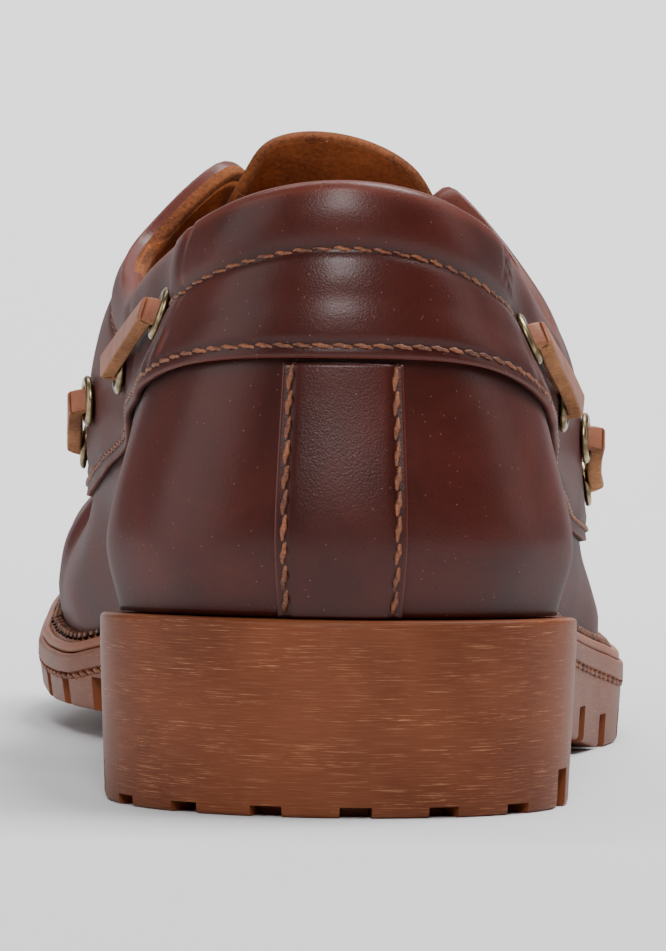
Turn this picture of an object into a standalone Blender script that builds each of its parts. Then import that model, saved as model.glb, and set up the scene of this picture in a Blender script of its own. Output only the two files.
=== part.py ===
"""Moc toe oxford for the right foot, as an assembly of the shoemaker's own pieces.

The toe points along +Y, the lateral side is +X and the floor is z = 0. The last is described by one
table for its plan, one for the sole's side and one for each side's wall. Every piece is taken from
the same form, a clearance or a wall apart.
"""

import math

import bmesh
import bpy
from mathutils import Matrix, Vector

# Lengths in metres
SOLE_LENGTH = 0.300
BALL_WIDTH = 0.1118
HEEL_WIDTH = 0.076
COLLAR_HEIGHT = 0.0674
HEEL_HEIGHT = 0.0303
FOREFOOT_THICKNESS = 0.0152
TOE_SPRING = 0.016
ARCH_HEIGHT = 0.006
MEDIAL_LIFT = 0.0055

CLEAR = 0.0003
LAYER_CLEAR = 0.00045
UPPER_WALL = 0.0020
BAND_WALL = 0.0014
STRIP_WALL = 0.0011
STRIP_HALF = 0.0101
SEAM_HEIGHT = 0.0016
SEAT_INSET = 0.0032
WELT_WIDTH = 0.0055
WELT_THICKNESS = 0.0020
WELT_BEAD = 0.0011
INSOLE_THICKNESS = 0.0035
TONGUE_WALL = 0.0022
TONGUE_RISE = 0.018
TONGUE_LAP = 0.006
TONGUE_CROWN = 0.0012
THROAT_ARCH = 0.0010

HEEL_TAPER = 0.0010
EDGE_ROUND = 0.0007
GROOVE_DEPTH = 0.0009
GROOVE_WIDTH = 0.0012
GROOVE_DROP = 0.0036
BREAST_SLOPE = 0.0025
LUG_GAP = 0.0050
LUG_DEPTH = 0.0034
LUG_PITCH = 0.018
SIDE_NOTCH = 0.0062
SIDE_NOTCH_IN = 0.0042
HEEL_NOTCH = 0.0017
HEEL_NOTCH_IN = 0.0095
CUTTER_SPARE = 0.004

EYELET_OUTER = 0.0090
EYELET_BORE = 0.0048
EYELET_WALL = 0.0005
EYELET_FLANGE = 0.0008
EYELET_DISH = 0.0003
LACE_WIDTH = 0.0040
LACE_THICK = 0.0026

# Shares and angles
HEEL_CENTRE = 0.12
TOE_CENTRE = 0.717
BALL_AT = 0.667
BREAST_AT = 0.277
WELT_START = 0.30
TOE_SWING = 0.108
HEEL_ROUNDNESS = 2.1
TOE_ROUNDNESS = 2.25
NOTCH_PITCH = 22.7
NOTCH_START = 4.6
TONGUE_SLOPE = 30.0
BAND_END = 0.615
BAND_STEP = 0.012
BAND_FADE = 0.08
BAND_RUNG = 0.45
TUCK_RUNG = 0.41
STRIP_RUNG = 0.442

# Plan of the last. along: share of the length from the heel's back. spine: share of half the ball
# width, towards the lateral side. sole: half width, share of the local width between heel and ball.
PLAN = (
    # along, spine, sole
    (0.120, 0.000, 1.000),
    (0.190, 0.000, 0.944),
    (0.267, 0.011, 0.873),
    (0.367, 0.045, 0.828),
    (0.407, 0.054, 0.848),
    (0.460, 0.060, 0.890),
    (0.550, 0.032, 1.000),
    (0.627, -0.013, 1.005),
    (0.717, -0.058, 0.973),
)

# Side view of the sole. heel, fore and spring: shares of the heel height, the forefoot thickness
# and the toe spring in the top line. arch: share of the arch height in the bottom line.
SOLE_LINE = (
    # along, heel, fore, spring, arch
    (0.000, 1.000, 0.00, 0.00, 1.00),
    (0.120, 0.972, 0.00, 0.00, 1.00),
    (0.267, 0.800, 0.18, 0.00, 1.00),
    (0.367, 0.500, 0.52, 0.00, 0.90),
    (0.440, 0.270, 0.76, 0.00, 0.42),
    (0.500, 0.110, 0.91, 0.00, 0.00),
    (0.550, 0.000, 1.00, 0.00, 0.00),
    (0.620, 0.000, 1.00, 0.00, 0.00),
    (0.717, 0.000, 0.97, 0.22, 0.00),
    (0.817, 0.000, 0.93, 0.49, 0.00),
    (1.000, 0.000, 0.88, 1.00, 0.00),
)

# Wall of the last on each side, from the bulge above the sole to the edge of the opening, or to the
# ridge of the vamp where its width is nought. Each width is a share of the sole's half width there,
# and each height a share of the collar height above the sole's top line.
LATERAL = (
    # along, bulge width, height, mid width, height, shoulder width, height, top width, height
    (0.120, 0.982, 0.190, 0.910, 0.465, 0.715, 0.720, 0.680, 0.873),
    (0.190, 0.985, 0.190, 0.940, 0.440, 0.872, 0.615, 0.820, 0.780),
    (0.267, 0.975, 0.190, 0.975, 0.430, 0.985, 0.570, 0.970, 0.707),
    (0.367, 1.000, 0.240, 1.050, 0.500, 0.975, 0.735, 0.740, 0.955),
    (0.407, 1.000, 0.250, 1.000, 0.470, 0.880, 0.820, 0.400, 1.190),
    (0.460, 0.970, 0.230, 0.925, 0.455, 0.800, 0.790, 0.300, 1.100),
    (0.550, 0.905, 0.160, 0.825, 0.370, 0.660, 0.690, 0.190, 0.925),
    (0.627, 0.905, 0.160, 0.830, 0.350, 0.580, 0.620, 0.150, 0.757),
    (0.655, 0.907, 0.160, 0.830, 0.345, 0.555, 0.595, 0.000, 0.705),
    (0.717, 0.910, 0.160, 0.830, 0.330, 0.520, 0.540, 0.000, 0.610),
)
MEDIAL = (
    # along, bulge width, height, mid width, height, shoulder width, height, top width, height
    (0.120, 0.982, 0.190, 0.910, 0.465, 0.735, 0.720, 0.690, 0.884),
    (0.190, 0.985, 0.200, 0.940, 0.475, 0.860, 0.665, 0.810, 0.847),
    (0.267, 0.995, 0.200, 1.000, 0.470, 1.005, 0.625, 0.972, 0.808),
    (0.367, 1.080, 0.250, 1.200, 0.540, 1.165, 0.780, 0.990, 1.010),
    (0.407, 1.060, 0.270, 1.190, 0.530, 1.060, 0.880, 0.600, 1.250),
    (0.460, 1.040, 0.260, 1.110, 0.490, 0.940, 0.870, 0.420, 1.160),
    (0.550, 0.980, 0.200, 0.935, 0.440, 0.740, 0.745, 0.240, 0.940),
    (0.627, 0.935, 0.180, 0.870, 0.370, 0.620, 0.640, 0.150, 0.757),
    (0.655, 0.930, 0.175, 0.863, 0.360, 0.575, 0.605, 0.000, 0.705),
    (0.717, 0.925, 0.170, 0.850, 0.340, 0.520, 0.540, 0.000, 0.610),
)
# The same columns straight back from the heel's centre and straight ahead from the toe's centre
BACK = (0.978, 0.177, 0.958, 0.465, 0.889, 0.738, 0.806, 1.000)
TIP = (0.945, 0.150, 0.885, 0.290, 0.620, 0.420, 0.000, 0.610)

# Lower edge of the collar band: heights as shares of the collar height above the sole's top line
BAND_EDGE = (
    # along, lateral, medial
    (0.000, 0.590, 0.590),
    (0.120, 0.470, 0.506),
    (0.190, 0.415, 0.470),
    (0.267, 0.330, 0.415),
    (0.367, 0.275, 0.400),
    (0.460, 0.290, 0.410),
    (0.530, 0.330, 0.430),
    (0.590, 0.400, 0.460),
    (0.627, 0.470, 0.500),
)

# Eyelets of the collar and the throat: place along the sole, and height above its top line as a
# share of the collar height on each side
SIDE_EYELETS = (
    # along, lateral, medial
    (0.133, 0.655, 0.705),
    (0.262, 0.530, 0.610),
    (0.367, 0.505, 0.585),
    (0.455, 0.440, 0.525),
)
THROAT_EYELETS = (
    # along, lateral, medial
    (0.462, 1.000, 1.060),
    (0.520, 0.905, 0.925),
    (0.578, 0.770, 0.775),
)

HEEL_Y = HEEL_CENTRE * SOLE_LENGTH
TOE_Y = TOE_CENTRE * SOLE_LENGTH
HALF_BALL = BALL_WIDTH / 2
HALF_HEEL = HEEL_WIDTH / 2
BAND_STAND = BAND_WALL + LAYER_CLEAR
LATERAL_SIDE, MEDIAL_SIDE = 1, -1
PROBE = 0.002
SHUT = 0.0001
HALVINGS = 30


def blend(low, high, x):
    """0 below low, 1 above high and a smooth rise between."""
    t = min(max((x - low) / (high - low), 0.0), 1.0)
    return t * t * (3 - 2 * t)


def column(rows, x, index):
    """A column of a table at x: a smooth curve through its rows, level at both ends."""
    x = min(max(x, rows[0][0]), rows[-1][0])
    at = max(i for i in range(len(rows) - 1) if rows[i][0] <= x)

    def slope(i):
        if i == 0 or i == len(rows) - 1:
            return 0.0
        return (rows[i + 1][index] - rows[i - 1][index]) / (rows[i + 1][0] - rows[i - 1][0])

    span = rows[at + 1][0] - rows[at][0]
    t = (x - rows[at][0]) / span
    rise, fall = t * t * (3 - 2 * t), 1 - t * t * (3 - 2 * t)
    bend = slope(at) * t * (1 - t) ** 2 - slope(at + 1) * t * t * (1 - t)
    return rows[at][index] * fall + rows[at + 1][index] * rise + bend * span


def toe_rise(y):
    """Rise of the sole ahead of the forefoot's flat spot."""
    return max(column(SOLE_LINE, y / SOLE_LENGTH, 3), 0.0) * TOE_SPRING


def sole_top(y):
    along = y / SOLE_LENGTH
    heel = column(SOLE_LINE, along, 1) * HEEL_HEIGHT
    return heel + column(SOLE_LINE, along, 2) * FOREFOOT_THICKNESS + toe_rise(y)


def sole_bottom(y, across):
    """Underside of the sole; across runs from -1 at the medial edge to 1 at the lateral edge."""
    along = y / SOLE_LENGTH
    past = (y - BREAST_AT * SOLE_LENGTH) / BREAST_SLOPE
    behind = min(max(past, 0.0), 1.0)
    lift = MEDIAL_LIFT * max(0.0, -across - 0.3) / 0.7
    waist = max(column(SOLE_LINE, along, 4), 0.0) * ARCH_HEIGHT + lift * blend(1.02, 0.85, along)
    return behind * waist + toe_rise(y)


def walk_at(y):
    """Place on the walk round half the last: 0 at the back, 1 to 2 along the side, 3 at the tip."""
    return 1 + (y - HEEL_Y) / (TOE_Y - HEEL_Y)


def walk_y(walk):
    """Distance from the heel's back of a place on the walk, as the sole's outline has it."""
    if walk < 1:
        return HEEL_Y * (1 - math.cos(math.radians(90 * walk)))
    return HEEL_Y + (TOE_Y - HEEL_Y) * (walk - 1)


def half_section(side, walk):
    """Foot of the section, its outward direction, and (distance, height) from sole edge to top."""
    y = HEEL_Y + (TOE_Y - HEEL_Y) * min(max(walk - 1, 0.0), 1.0)
    along = y / SOLE_LENGTH
    mix = min(max((along - HEEL_CENTRE) / (BALL_AT - HEEL_CENTRE), 0.0), 1.0)
    half = column(PLAN, along, 2) * (HALF_HEEL + (HALF_BALL - HALF_HEEL) * mix)
    spine = column(PLAN, along, 1) * HALF_BALL
    rows = LATERAL if side == LATERAL_SIDE else MEDIAL
    inset = SEAT_INSET + (WELT_WIDTH - SEAT_INSET) * mix
    widths = [half, half - inset] + [max(column(rows, along, i), 0.0) * half for i in (1, 3, 5, 7)]
    heights = [0.0, 0.0] + [column(rows, along, i) * COLLAR_HEIGHT for i in (2, 4, 6, 8)]
    angle, forward = math.radians(90), -1 if walk < 1 else 1
    if walk < 1 or walk > 2:
        angle = math.radians(90 * (walk if walk < 1 else 3 - walk))
        reach = HEEL_Y if walk < 1 else SOLE_LENGTH - TOE_Y
        ends = BACK if walk < 1 else TIP
        power = HEEL_ROUNDNESS if walk < 1 else TOE_ROUNDNESS
        reaches = [reach, reach - inset] + [reach * ends[i] for i in (0, 2, 4, 6)]
        rises = [0.0, 0.0] + [COLLAR_HEIGHT * ends[i] for i in (1, 3, 5, 7)]
        share_side, share_end = abs(math.sin(angle)), abs(math.cos(angle))
        for i, (wide, deep) in enumerate(zip(widths, reaches)):
            if deep > 0 and wide > 0:
                widths[i] = ((share_side / wide) ** power + (share_end / deep) ** power) ** (-1 / power)
            else:
                widths[i] = 0.0
            heights[i] += (rises[i] - heights[i]) * share_end ** 2
    direction = Vector((side * math.sin(angle), forward * math.cos(angle), 0.0))
    return Vector((spine, y, 0.0)), direction, list(zip(widths, heights))


def swing(point):
    """The toe's curve towards the medial side."""
    past = max(0.0, (point.y - TOE_Y) / (SOLE_LENGTH - TOE_Y))
    return Vector((point.x - TOE_SWING * HALF_BALL * past ** 2, point.y, point.z))


def sole_edge(side, walk, inset=0.0):
    """A point in plan on the sole's outline, or inset from it."""
    foot, direction, points = half_section(side, walk)
    return swing(foot + direction * (points[0][0] - inset))


def spline(points, level):
    """Smooth curve through the section's points, flat on top where both halves meet."""
    spans = len(points) - 1
    at = min(int(level * spans), spans - 1)
    t = level * spans - at

    def slope(i):
        if i == 0:
            return points[1] - points[0]
        if i == spans:
            open_end = points[i] - points[i - 1]
            closed = blend(0.25, 0.05, points[i].x / max(points[0].x, 0.001))
            return open_end.lerp(Vector((-points[i - 1].x, 0.0)), closed)
        return (points[i + 1] - points[i - 1]) / 2

    rise = t * t * (3 - 2 * t)
    return (points[at] * (1 - rise) + points[at + 1] * rise
            + slope(at) * (t * (1 - t) ** 2) - slope(at + 1) * (t * t * (1 - t)))


def surface(side, walk, level):
    """The outer form of the upper, from the sole at level 0 to the opening or ridge at level 1."""
    foot, direction, points = half_section(side, walk)
    across = spline([Vector(point) for point in points[1:]], level)
    place = swing(foot + direction * across.x)
    place.z = sole_top(place.y) + CLEAR + across.y
    return place


def outward(side, walk, level):
    """Direction straight out of the form."""
    if level > 0.999 and not is_open(side, walk):
        ahead = min(walk + PROBE, 2.0)
        ridge = surface(side, ahead, 1.0) - surface(side, ahead - PROBE, 1.0)
        return Vector((0.0, -ridge.z, ridge.y)).normalized()
    walk_a, walk_b = max(walk - PROBE, 0.0), min(walk + PROBE, 3.0)
    level_a, level_b = max(level - PROBE, 0.0), min(level + PROBE, 1.0)
    along = surface(side, walk_b, level) - surface(side, walk_a, level)
    up = surface(side, walk, level_b) - surface(side, walk, level_a)
    normal = (along.cross(up) * side).normalized()
    if walk < 1e-6 or walk > 3 - 1e-6:
        normal.x = 0.0
        normal.normalize()
    return normal


def is_open(side, walk):
    """Whether the section ends at the opening's edge and not on the vamp's ridge."""
    return half_section(side, walk)[2][-1][0] > SHUT


def form(side, walk, level, proud=0.0):
    return surface(side, walk, level) + outward(side, walk, level) * proud


def level_of(side, walk, height):
    """Level at which the section reaches a height above the sole's top line."""
    points = [Vector(point) for point in half_section(side, walk)[2][1:]]
    low, high = 0.0, 1.0
    for _ in range(HALVINGS):
        middle = (low + high) / 2
        if spline(points, middle).y < height:
            low = middle
        else:
            high = middle
    return (low + high) / 2


def wall_reach(side, walk, height):
    """Distance of the form from the foot of its section, at a height above the sole's top line."""
    points = [Vector(point) for point in half_section(side, walk)[2][1:]]
    return spline(points, level_of(side, walk, height)).x


def band_level(side, walk):
    """Level of the collar band's lower edge."""
    y = walk_y(walk)
    height = column(BAND_EDGE, y / SOLE_LENGTH, 1 if side == LATERAL_SIDE else 2)
    return level_of(side, walk, height * COLLAR_HEIGHT)


def level_at(side, walk, rung):
    """Level of one of the rungs that upper and band share, so that they stay parallel."""
    along = walk_y(walk) / SOLE_LENGTH
    edge = BAND_RUNG
    if along < BAND_END + BAND_FADE:
        edge += (band_level(side, walk) - BAND_RUNG) * blend(BAND_END + BAND_FADE, BAND_END, along)
    if rung < BAND_RUNG:
        return rung / BAND_RUNG * edge
    return edge + (rung - BAND_RUNG) / (1 - BAND_RUNG) * (1 - edge)


def tuck(walk, rung):
    """How far the upper lies under the form where the collar band covers it."""
    along = walk_y(walk) / SOLE_LENGTH
    ahead = blend(BAND_END + BAND_FADE / 2, BAND_END + BAND_STEP, along)
    return BAND_STAND * blend(TUCK_RUNG - 0.05, TUCK_RUNG, rung) * ahead


# Scene, collections and small makers

for old in list(bpy.data.objects):
    bpy.data.objects.remove(old, do_unlink=True)

shoe = bpy.data.collections.new("moc_toe_oxford")
cutters = bpy.data.collections.new("cutters")
bpy.context.scene.collection.children.link(shoe)
bpy.context.scene.collection.children.link(cutters)

# The sole's outline is the shoe's reach: its middle is the origin
OUTLINE = [sole_edge(side, 0.05 * i) for side in (LATERAL_SIDE, MEDIAL_SIDE) for i in range(61)]
MIDDLE = Vector(((max(p.x for p in OUTLINE) + min(p.x for p in OUTLINE)) / 2, SOLE_LENGTH / 2, 0.0))


def finish(colour, roughness, metallic=0.0):
    def make(name):
        material = bpy.data.materials.new(name)
        material.use_nodes = True
        shader = material.node_tree.nodes["Principled BSDF"]
        shader.inputs["Base Color"].default_value = (*colour, 1.0)
        shader.inputs["Roughness"].default_value = roughness
        shader.inputs["Metallic"].default_value = metallic
        return material
    return make


LEATHER = finish((0.105, 0.028, 0.020), 0.35)("pull_up_leather")
LINING = finish((0.30, 0.12, 0.05), 0.85)("suede_lining")
GUM = finish((0.21, 0.075, 0.035), 0.60)("gum_rubber")
WELT = finish((0.16, 0.055, 0.030), 0.60)("welt_rubber")
BRASS = finish((0.25, 0.17, 0.08), 0.40, 1.0)("antique_brass")
THONG = finish((0.28, 0.10, 0.045), 0.60)("leather_thong")


def add_object(name, mesh, material, place=Matrix.Identity(4), collection=shoe):
    """Put a mesh in the scene, moved so that the shoe's middle is the origin."""
    mesh.transform(Matrix.Translation(-MIDDLE) @ place)
    for polygon in mesh.polygons:
        polygon.use_smooth = True
    mesh.set_sharp_from_angle(angle=math.radians(35))
    mesh.materials.append(material)
    piece = bpy.data.objects.new(name, mesh)
    collection.objects.link(piece)
    return piece


def add_cutter(name, mesh):
    cutter = add_object(name, mesh, GUM, collection=cutters)
    cutter.hide_render = True
    cutter.display_type = "WIRE"
    return cutter


def cut(piece, cutter):
    modifier = piece.modifiers.new(cutter.name, "BOOLEAN")
    modifier.operation = "DIFFERENCE"
    modifier.solver = "EXACT"
    modifier.object = cutter


def mesh_of(bm, name):
    """A mesh from a bmesh, with doubles merged and faces pointing out."""
    bmesh.ops.remove_doubles(bm, verts=bm.verts, dist=2e-6)
    bmesh.ops.dissolve_degenerate(bm, edges=bm.edges, dist=1e-7)
    bmesh.ops.recalc_face_normals(bm, faces=bm.faces)
    mesh = bpy.data.meshes.new(name)
    bm.to_mesh(mesh)
    bm.free()
    return mesh


def grid(bm, rows):
    """Quads between rows of points; a row is joined to the next one, point by point."""
    lines = [[bm.verts.new(point) for point in row] for row in rows]
    for first, second in zip(lines, lines[1:]):
        for i in range(len(first) - 1):
            bm.faces.new((first[i], first[i + 1], second[i + 1], second[i]))
    return lines


def tube_of(bm, rings, ends):
    """A closed solid through rings of points, with an end face at each end where asked."""
    lines = [[bm.verts.new(point) for point in ring] for ring in rings]
    for first, second in zip(lines, lines[1:] if ends else lines[1:] + lines[:1]):
        for i in range(len(first)):
            j = (i + 1) % len(first)
            bm.faces.new((first[i], first[j], second[j], second[i]))
    if ends:
        bm.faces.new(lines[0])
        bm.faces.new(lines[-1])
    return lines


def shell(name, walks, rungs, proud_of, wall, material):
    """A wall on the form: both its faces are read from the form, so that layers stay parallel.

    proud_of(side, walk, rung) is how far the outer face stands off the form.
    """
    bm = bmesh.new()
    for side in (LATERAL_SIDE, MEDIAL_SIDE):
        outer, inner = [], []
        for walk in walks:
            levels = [level_at(side, walk, rung) for rung in rungs]
            prouds = [proud_of(side, walk, rung) for rung in rungs]
            outer.append([form(side, walk, *pair) for pair in zip(levels, prouds)])
            inner.append([form(side, walk, level, proud - wall) for level, proud in zip(levels, prouds)])
        grid(bm, outer)
        grid(bm, inner)
        grid(bm, [[out[0], into[0]] for out, into in zip(outer, inner)])
        open_rows = [i for i, walk in enumerate(walks) if rungs[-1] < 1 or is_open(side, walk)]
        rim = [[outer[i][-1], inner[i][-1]] for i in range(min(len(open_rows) + 1, len(walks)))]
        grid(bm, rim)
        if walks[-1] < 3:
            grid(bm, [outer[-1], inner[-1]])
    return add_object(name, mesh_of(bm, name), material)


# Walk positions round the shoe: fans at heel and toe, closer rows where the form turns
HEEL_FAN = [i / 6 for i in range(6)]
SIDE_WALK = [walk_at(along * SOLE_LENGTH) for along in
             (0.12, 0.155, 0.19, 0.228, 0.267, 0.30, 0.335, 0.367, 0.387, 0.407, 0.432, 0.46,
              0.49, 0.52, 0.55, 0.583, BAND_END, BAND_END + BAND_STEP, 0.655, 0.687)]
TOE_FAN = [2 + i / 8 for i in range(9)]
WALKS = HEEL_FAN + SIDE_WALK + TOE_FAN
BREAST = [walk_at(BREAST_AT * SOLE_LENGTH), walk_at(BREAST_AT * SOLE_LENGTH + BREAST_SLOPE)]


# Outsole: one moulded unit of gum rubber, with the heel block, the arch, the toe spring, a groove
# round the forefoot's side and lugs cut into the tread

ACROSS = (1.0, 0.62, 0.2, -0.3, -0.65, -1.0)


def sole_ring(side, walk):
    """Points down the sole's side at one place: top edge, groove and bottom edge."""
    foot, direction, points = half_section(side, walk)
    half = points[0][0]
    edge = swing(foot + direction * half)
    top = sole_top(edge.y)
    low = sole_bottom(edge.y, side * abs(direction.x))
    fore = blend(BREAST_AT, BREAST_AT + 0.03, edge.y / SOLE_LENGTH)
    step = top - GROOVE_DROP
    drops = (
        (EDGE_ROUND, top),
        (0.0, top - EDGE_ROUND),
        (0.0, step),
        (GROOVE_DEPTH * fore, step - GROOVE_WIDTH * 0.3),
        (GROOVE_DEPTH * fore, step - GROOVE_WIDTH * 0.7),
        (0.0, step - GROOVE_WIDTH),
        (HEEL_TAPER, low + EDGE_ROUND),
        (HEEL_TAPER + EDGE_ROUND, low),
    )
    ring = []
    for inset, height in drops:
        place = swing(foot + direction * (half - inset))
        place.z = height
        ring.append(place)
    return ring


def sole_face(walks, height_of, edge_of):
    """Rows across the sole from the lateral edge to the medial edge."""
    rows = []
    for walk in walks:
        lateral, medial = edge_of(LATERAL_SIDE, walk), edge_of(MEDIAL_SIDE, walk)
        row = []
        for share in ACROSS:
            place = medial.lerp(lateral, (share + 1) / 2)
            if abs(share) < 1 and 0 < walk < 3:
                place.z = height_of(place.y, share)
            row.append(place)
        rows.append(row)
    return rows


def build_outsole():
    walks = sorted(HEEL_FAN + SIDE_WALK + TOE_FAN + BREAST)
    bm = bmesh.new()
    for side in (LATERAL_SIDE, MEDIAL_SIDE):
        grid(bm, [sole_ring(side, walk) for walk in walks])
    grid(bm, sole_face(walks, lambda y, share: sole_top(y), lambda side, walk: sole_ring(side, walk)[0]))
    grid(bm, sole_face(walks, sole_bottom, lambda side, walk: sole_ring(side, walk)[-1]))
    return add_object("outsole", mesh_of(bm, "outsole"), GUM)


def box_cutter(bm, place, turn, size):
    made = bmesh.ops.create_cube(bm, size=1.0)["verts"]
    bmesh.ops.scale(bm, verts=made, vec=size)
    bmesh.ops.transform(bm, verts=made, matrix=Matrix.Translation(place) @ Matrix.Rotation(turn, 4, "Z"))


def cut_heel_notches(outsole):
    """Notches round the heel's bottom edge, as spokes from the heel's centre."""
    bm = bmesh.new()
    for i in range(-4, 5):
        angle = math.radians(NOTCH_START + NOTCH_PITCH * i)
        tall = SIDE_NOTCH if abs(angle) > math.radians(65) else HEEL_NOTCH
        middle = HEEL_Y + CUTTER_SPARE - HEEL_NOTCH_IN / 2
        height = (tall - CUTTER_SPARE) / 2
        place = Vector((math.sin(angle) * middle, HEEL_Y - math.cos(angle) * middle, height))
        box_cutter(bm, place, angle, (LUG_GAP, HEEL_NOTCH_IN, tall + CUTTER_SPARE))
    cut(outsole, add_cutter("heel_notches", mesh_of(bm, "heel_notches")))


# Tread bars, as shares of the length on the forefoot and of the heel's length under the heel
TREAD = (0.377, 0.93)
HEEL_BARS = (0.55, 0.90)


def lug_rows():
    first, last = TREAD[0] * SOLE_LENGTH, TREAD[1] * SOLE_LENGTH
    count = int((last - first) / LUG_PITCH) + 1
    return [first + LUG_PITCH * i for i in range(count)]


def cut_tread(outsole):
    """Bars cut across between the forefoot's lugs, taller at the sole's sides, and two under the heel."""
    bm = bmesh.new()
    reach, below = BALL_WIDTH, LUG_DEPTH + CUTTER_SPARE
    for y in lug_rows():
        low, tall = sole_bottom(y, 0.0) + LUG_DEPTH, SIDE_NOTCH - LUG_DEPTH
        lateral = edge_at(LATERAL_SIDE, y).x - SIDE_NOTCH_IN
        medial = edge_at(MEDIAL_SIDE, y).x + SIDE_NOTCH_IN
        lifted = sole_bottom(y, -1.0) - sole_bottom(y, 0.0)
        outline = ((-reach, low - below), (-reach, low + tall + lifted), (medial, low + tall + lifted),
                   (medial, low), (lateral, low), (lateral, low + tall), (reach, low + tall),
                   (reach, low - below))
        ring = [bm.verts.new((x, y - LUG_GAP / 2, z)) for x, z in outline]
        made = bmesh.ops.extrude_face_region(bm, geom=[bm.faces.new(ring)])["geom"]
        moved = [item for item in made if isinstance(item, bmesh.types.BMVert)]
        bmesh.ops.translate(bm, verts=moved, vec=(0.0, LUG_GAP, 0.0))
    for share in HEEL_BARS:
        place = Vector((0.0, share * BREAST_AT * SOLE_LENGTH, (HEEL_NOTCH - CUTTER_SPARE) / 2))
        box_cutter(bm, place, 0.0, (HEEL_WIDTH * 0.6, LUG_GAP, HEEL_NOTCH + CUTTER_SPARE))
    cut(outsole, add_cutter("tread_bars", mesh_of(bm, "tread_bars")))


def edge_at(side, y):
    """The sole's edge at a distance from the heel's back."""
    low, high = 0.0, 3.0
    for _ in range(HALVINGS):
        middle = (low + high) / 2
        if sole_edge(side, middle).y < y:
            low = middle
        else:
            high = middle
    return sole_edge(side, (low + high) / 2)


# Welt: a stitched strip on the sole's ledge from the waist round the toe, with a bead at the upper

def build_welt():
    start = walk_at(WELT_START * SOLE_LENGTH)
    walks = sorted([start] + [walk for walk in WALKS if walk > start + 0.02])
    route = [(LATERAL_SIDE, walk) for walk in walks] + [(MEDIAL_SIDE, walk) for walk in walks[-2::-1]]
    rings = []
    for side, walk in route:
        foot, direction, points = half_section(side, walk)
        thick = WELT_THICKNESS * (0.4 + 0.6 * blend(WELT_START, WELT_START + 0.08, foot.y / SOLE_LENGTH))
        bead = WELT_BEAD * thick / WELT_THICKNESS
        outer = points[0][0] - EDGE_ROUND
        inner = wall_reach(side, walk, thick + bead) + 2 * CLEAR
        width = outer - inner
        profile = (
            (outer, CLEAR), (outer, thick * 0.7), (outer - width * 0.12, thick),
            (inner + width * 0.48, thick), (inner + width * 0.38, thick + bead * 0.8),
            (inner + width * 0.20, thick + bead), (inner, thick + bead * 0.7),
            (wall_reach(side, walk, 0.0) + 2 * CLEAR, CLEAR),
        )
        ring = []
        for distance, height in profile:
            place = swing(foot + direction * distance)
            place.z = sole_top(place.y) + height
            ring.append(place)
        rings.append(ring)
    bm = bmesh.new()
    tube_of(bm, rings, ends=True)
    return add_object("welt", mesh_of(bm, "welt"), WELT)


# Insole: a pad on the sole inside the upper's wall

def build_insole():
    def edge_of(side, walk, height):
        foot, direction, points = half_section(side, walk)
        place = swing(foot + direction * (points[1][0] - UPPER_WALL - 2 * CLEAR))
        place.z = sole_top(place.y) + height
        return place

    bm = bmesh.new()
    low, high = CLEAR, CLEAR + INSOLE_THICKNESS
    for side in (LATERAL_SIDE, MEDIAL_SIDE):
        grid(bm, [[edge_of(side, walk, low), edge_of(side, walk, high)] for walk in WALKS])
    for height in (low, high):
        grid(bm, [[edge_of(side, walk, height) for side in (LATERAL_SIDE, MEDIAL_SIDE)] for walk in WALKS])
    return add_object("insole", mesh_of(bm, "insole"), LINING)


# Upper: the leather shell, open at the collar, the throat and underneath. The apron seam of the moc
# toe is a ridge in its wall.

SEAM_RUNG = 0.63
SEAM_SPREAD = 0.030
UPPER_RUNGS = (0.0, 0.12, 0.24, 0.34, TUCK_RUNG, BAND_RUNG, 0.54, SEAM_RUNG - SEAM_SPREAD, SEAM_RUNG,
               SEAM_RUNG + SEAM_SPREAD, 0.76, 0.88, 1.0)
BAND_RUNGS = UPPER_RUNGS[5:]


def seam_rise(walk, rung):
    """The ridge of the apron seam, from the band round the toe."""
    start = walk_at((BAND_END + BAND_STEP / 3) * SOLE_LENGTH)
    return SEAM_HEIGHT * blend(start, start + 0.06, walk) if rung == SEAM_RUNG else 0.0


def build_upper():
    return shell("upper", WALKS, UPPER_RUNGS,
                 lambda side, walk, rung: seam_rise(walk, rung) - tuck(walk, rung), UPPER_WALL, LEATHER)


# Collar band: the saddle of the shoe, one strip round the collar and down to the throat

def build_band():
    walks = [walk for walk in WALKS if walk <= walk_at(BAND_END * SOLE_LENGTH)]
    return shell("collar_band", walks, BAND_RUNGS, lambda side, walk, rung: 0.0, BAND_WALL, LEATHER)


# Back strip: a narrow stay up the heel's back, from the sole to the band

def build_back_strip():
    turn = STRIP_HALF / HEEL_Y / math.radians(90)
    stand = STRIP_WALL + CLEAR
    return shell("back_strip", (0.0, turn / 2, turn), UPPER_RUNGS[:4] + (TUCK_RUNG, STRIP_RUNG),
                 lambda side, walk, rung: stand - tuck(walk, rung), STRIP_WALL, LEATHER)


# Tongue: a leather leaf from under the throat's front end up past the facings

TONGUE_LAPS = (0.0, 0.5, 1.0)
TONGUE_BRIDGE = (0.25, 0.5, 0.75)
TONGUE_ALONG = (0.640, 0.600, 0.555, 0.510, 0.465, 0.425)
TONGUE_OUT = (0.35, 0.7, 1.0)
TONGUE_ROUND = 0.55
TONGUE_NARROW = 0.08


def level_at_reach(side, walk, reach):
    """Level above the shoulder at which the section is a distance wide."""
    points = [Vector(point) for point in half_section(side, walk)[2][1:]]
    low, high = 0.55, 1.0
    for _ in range(HALVINGS):
        middle = (low + high) / 2
        if spline(points, middle).x > reach:
            low = middle
        else:
            high = middle
    return (low + high) / 2


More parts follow.
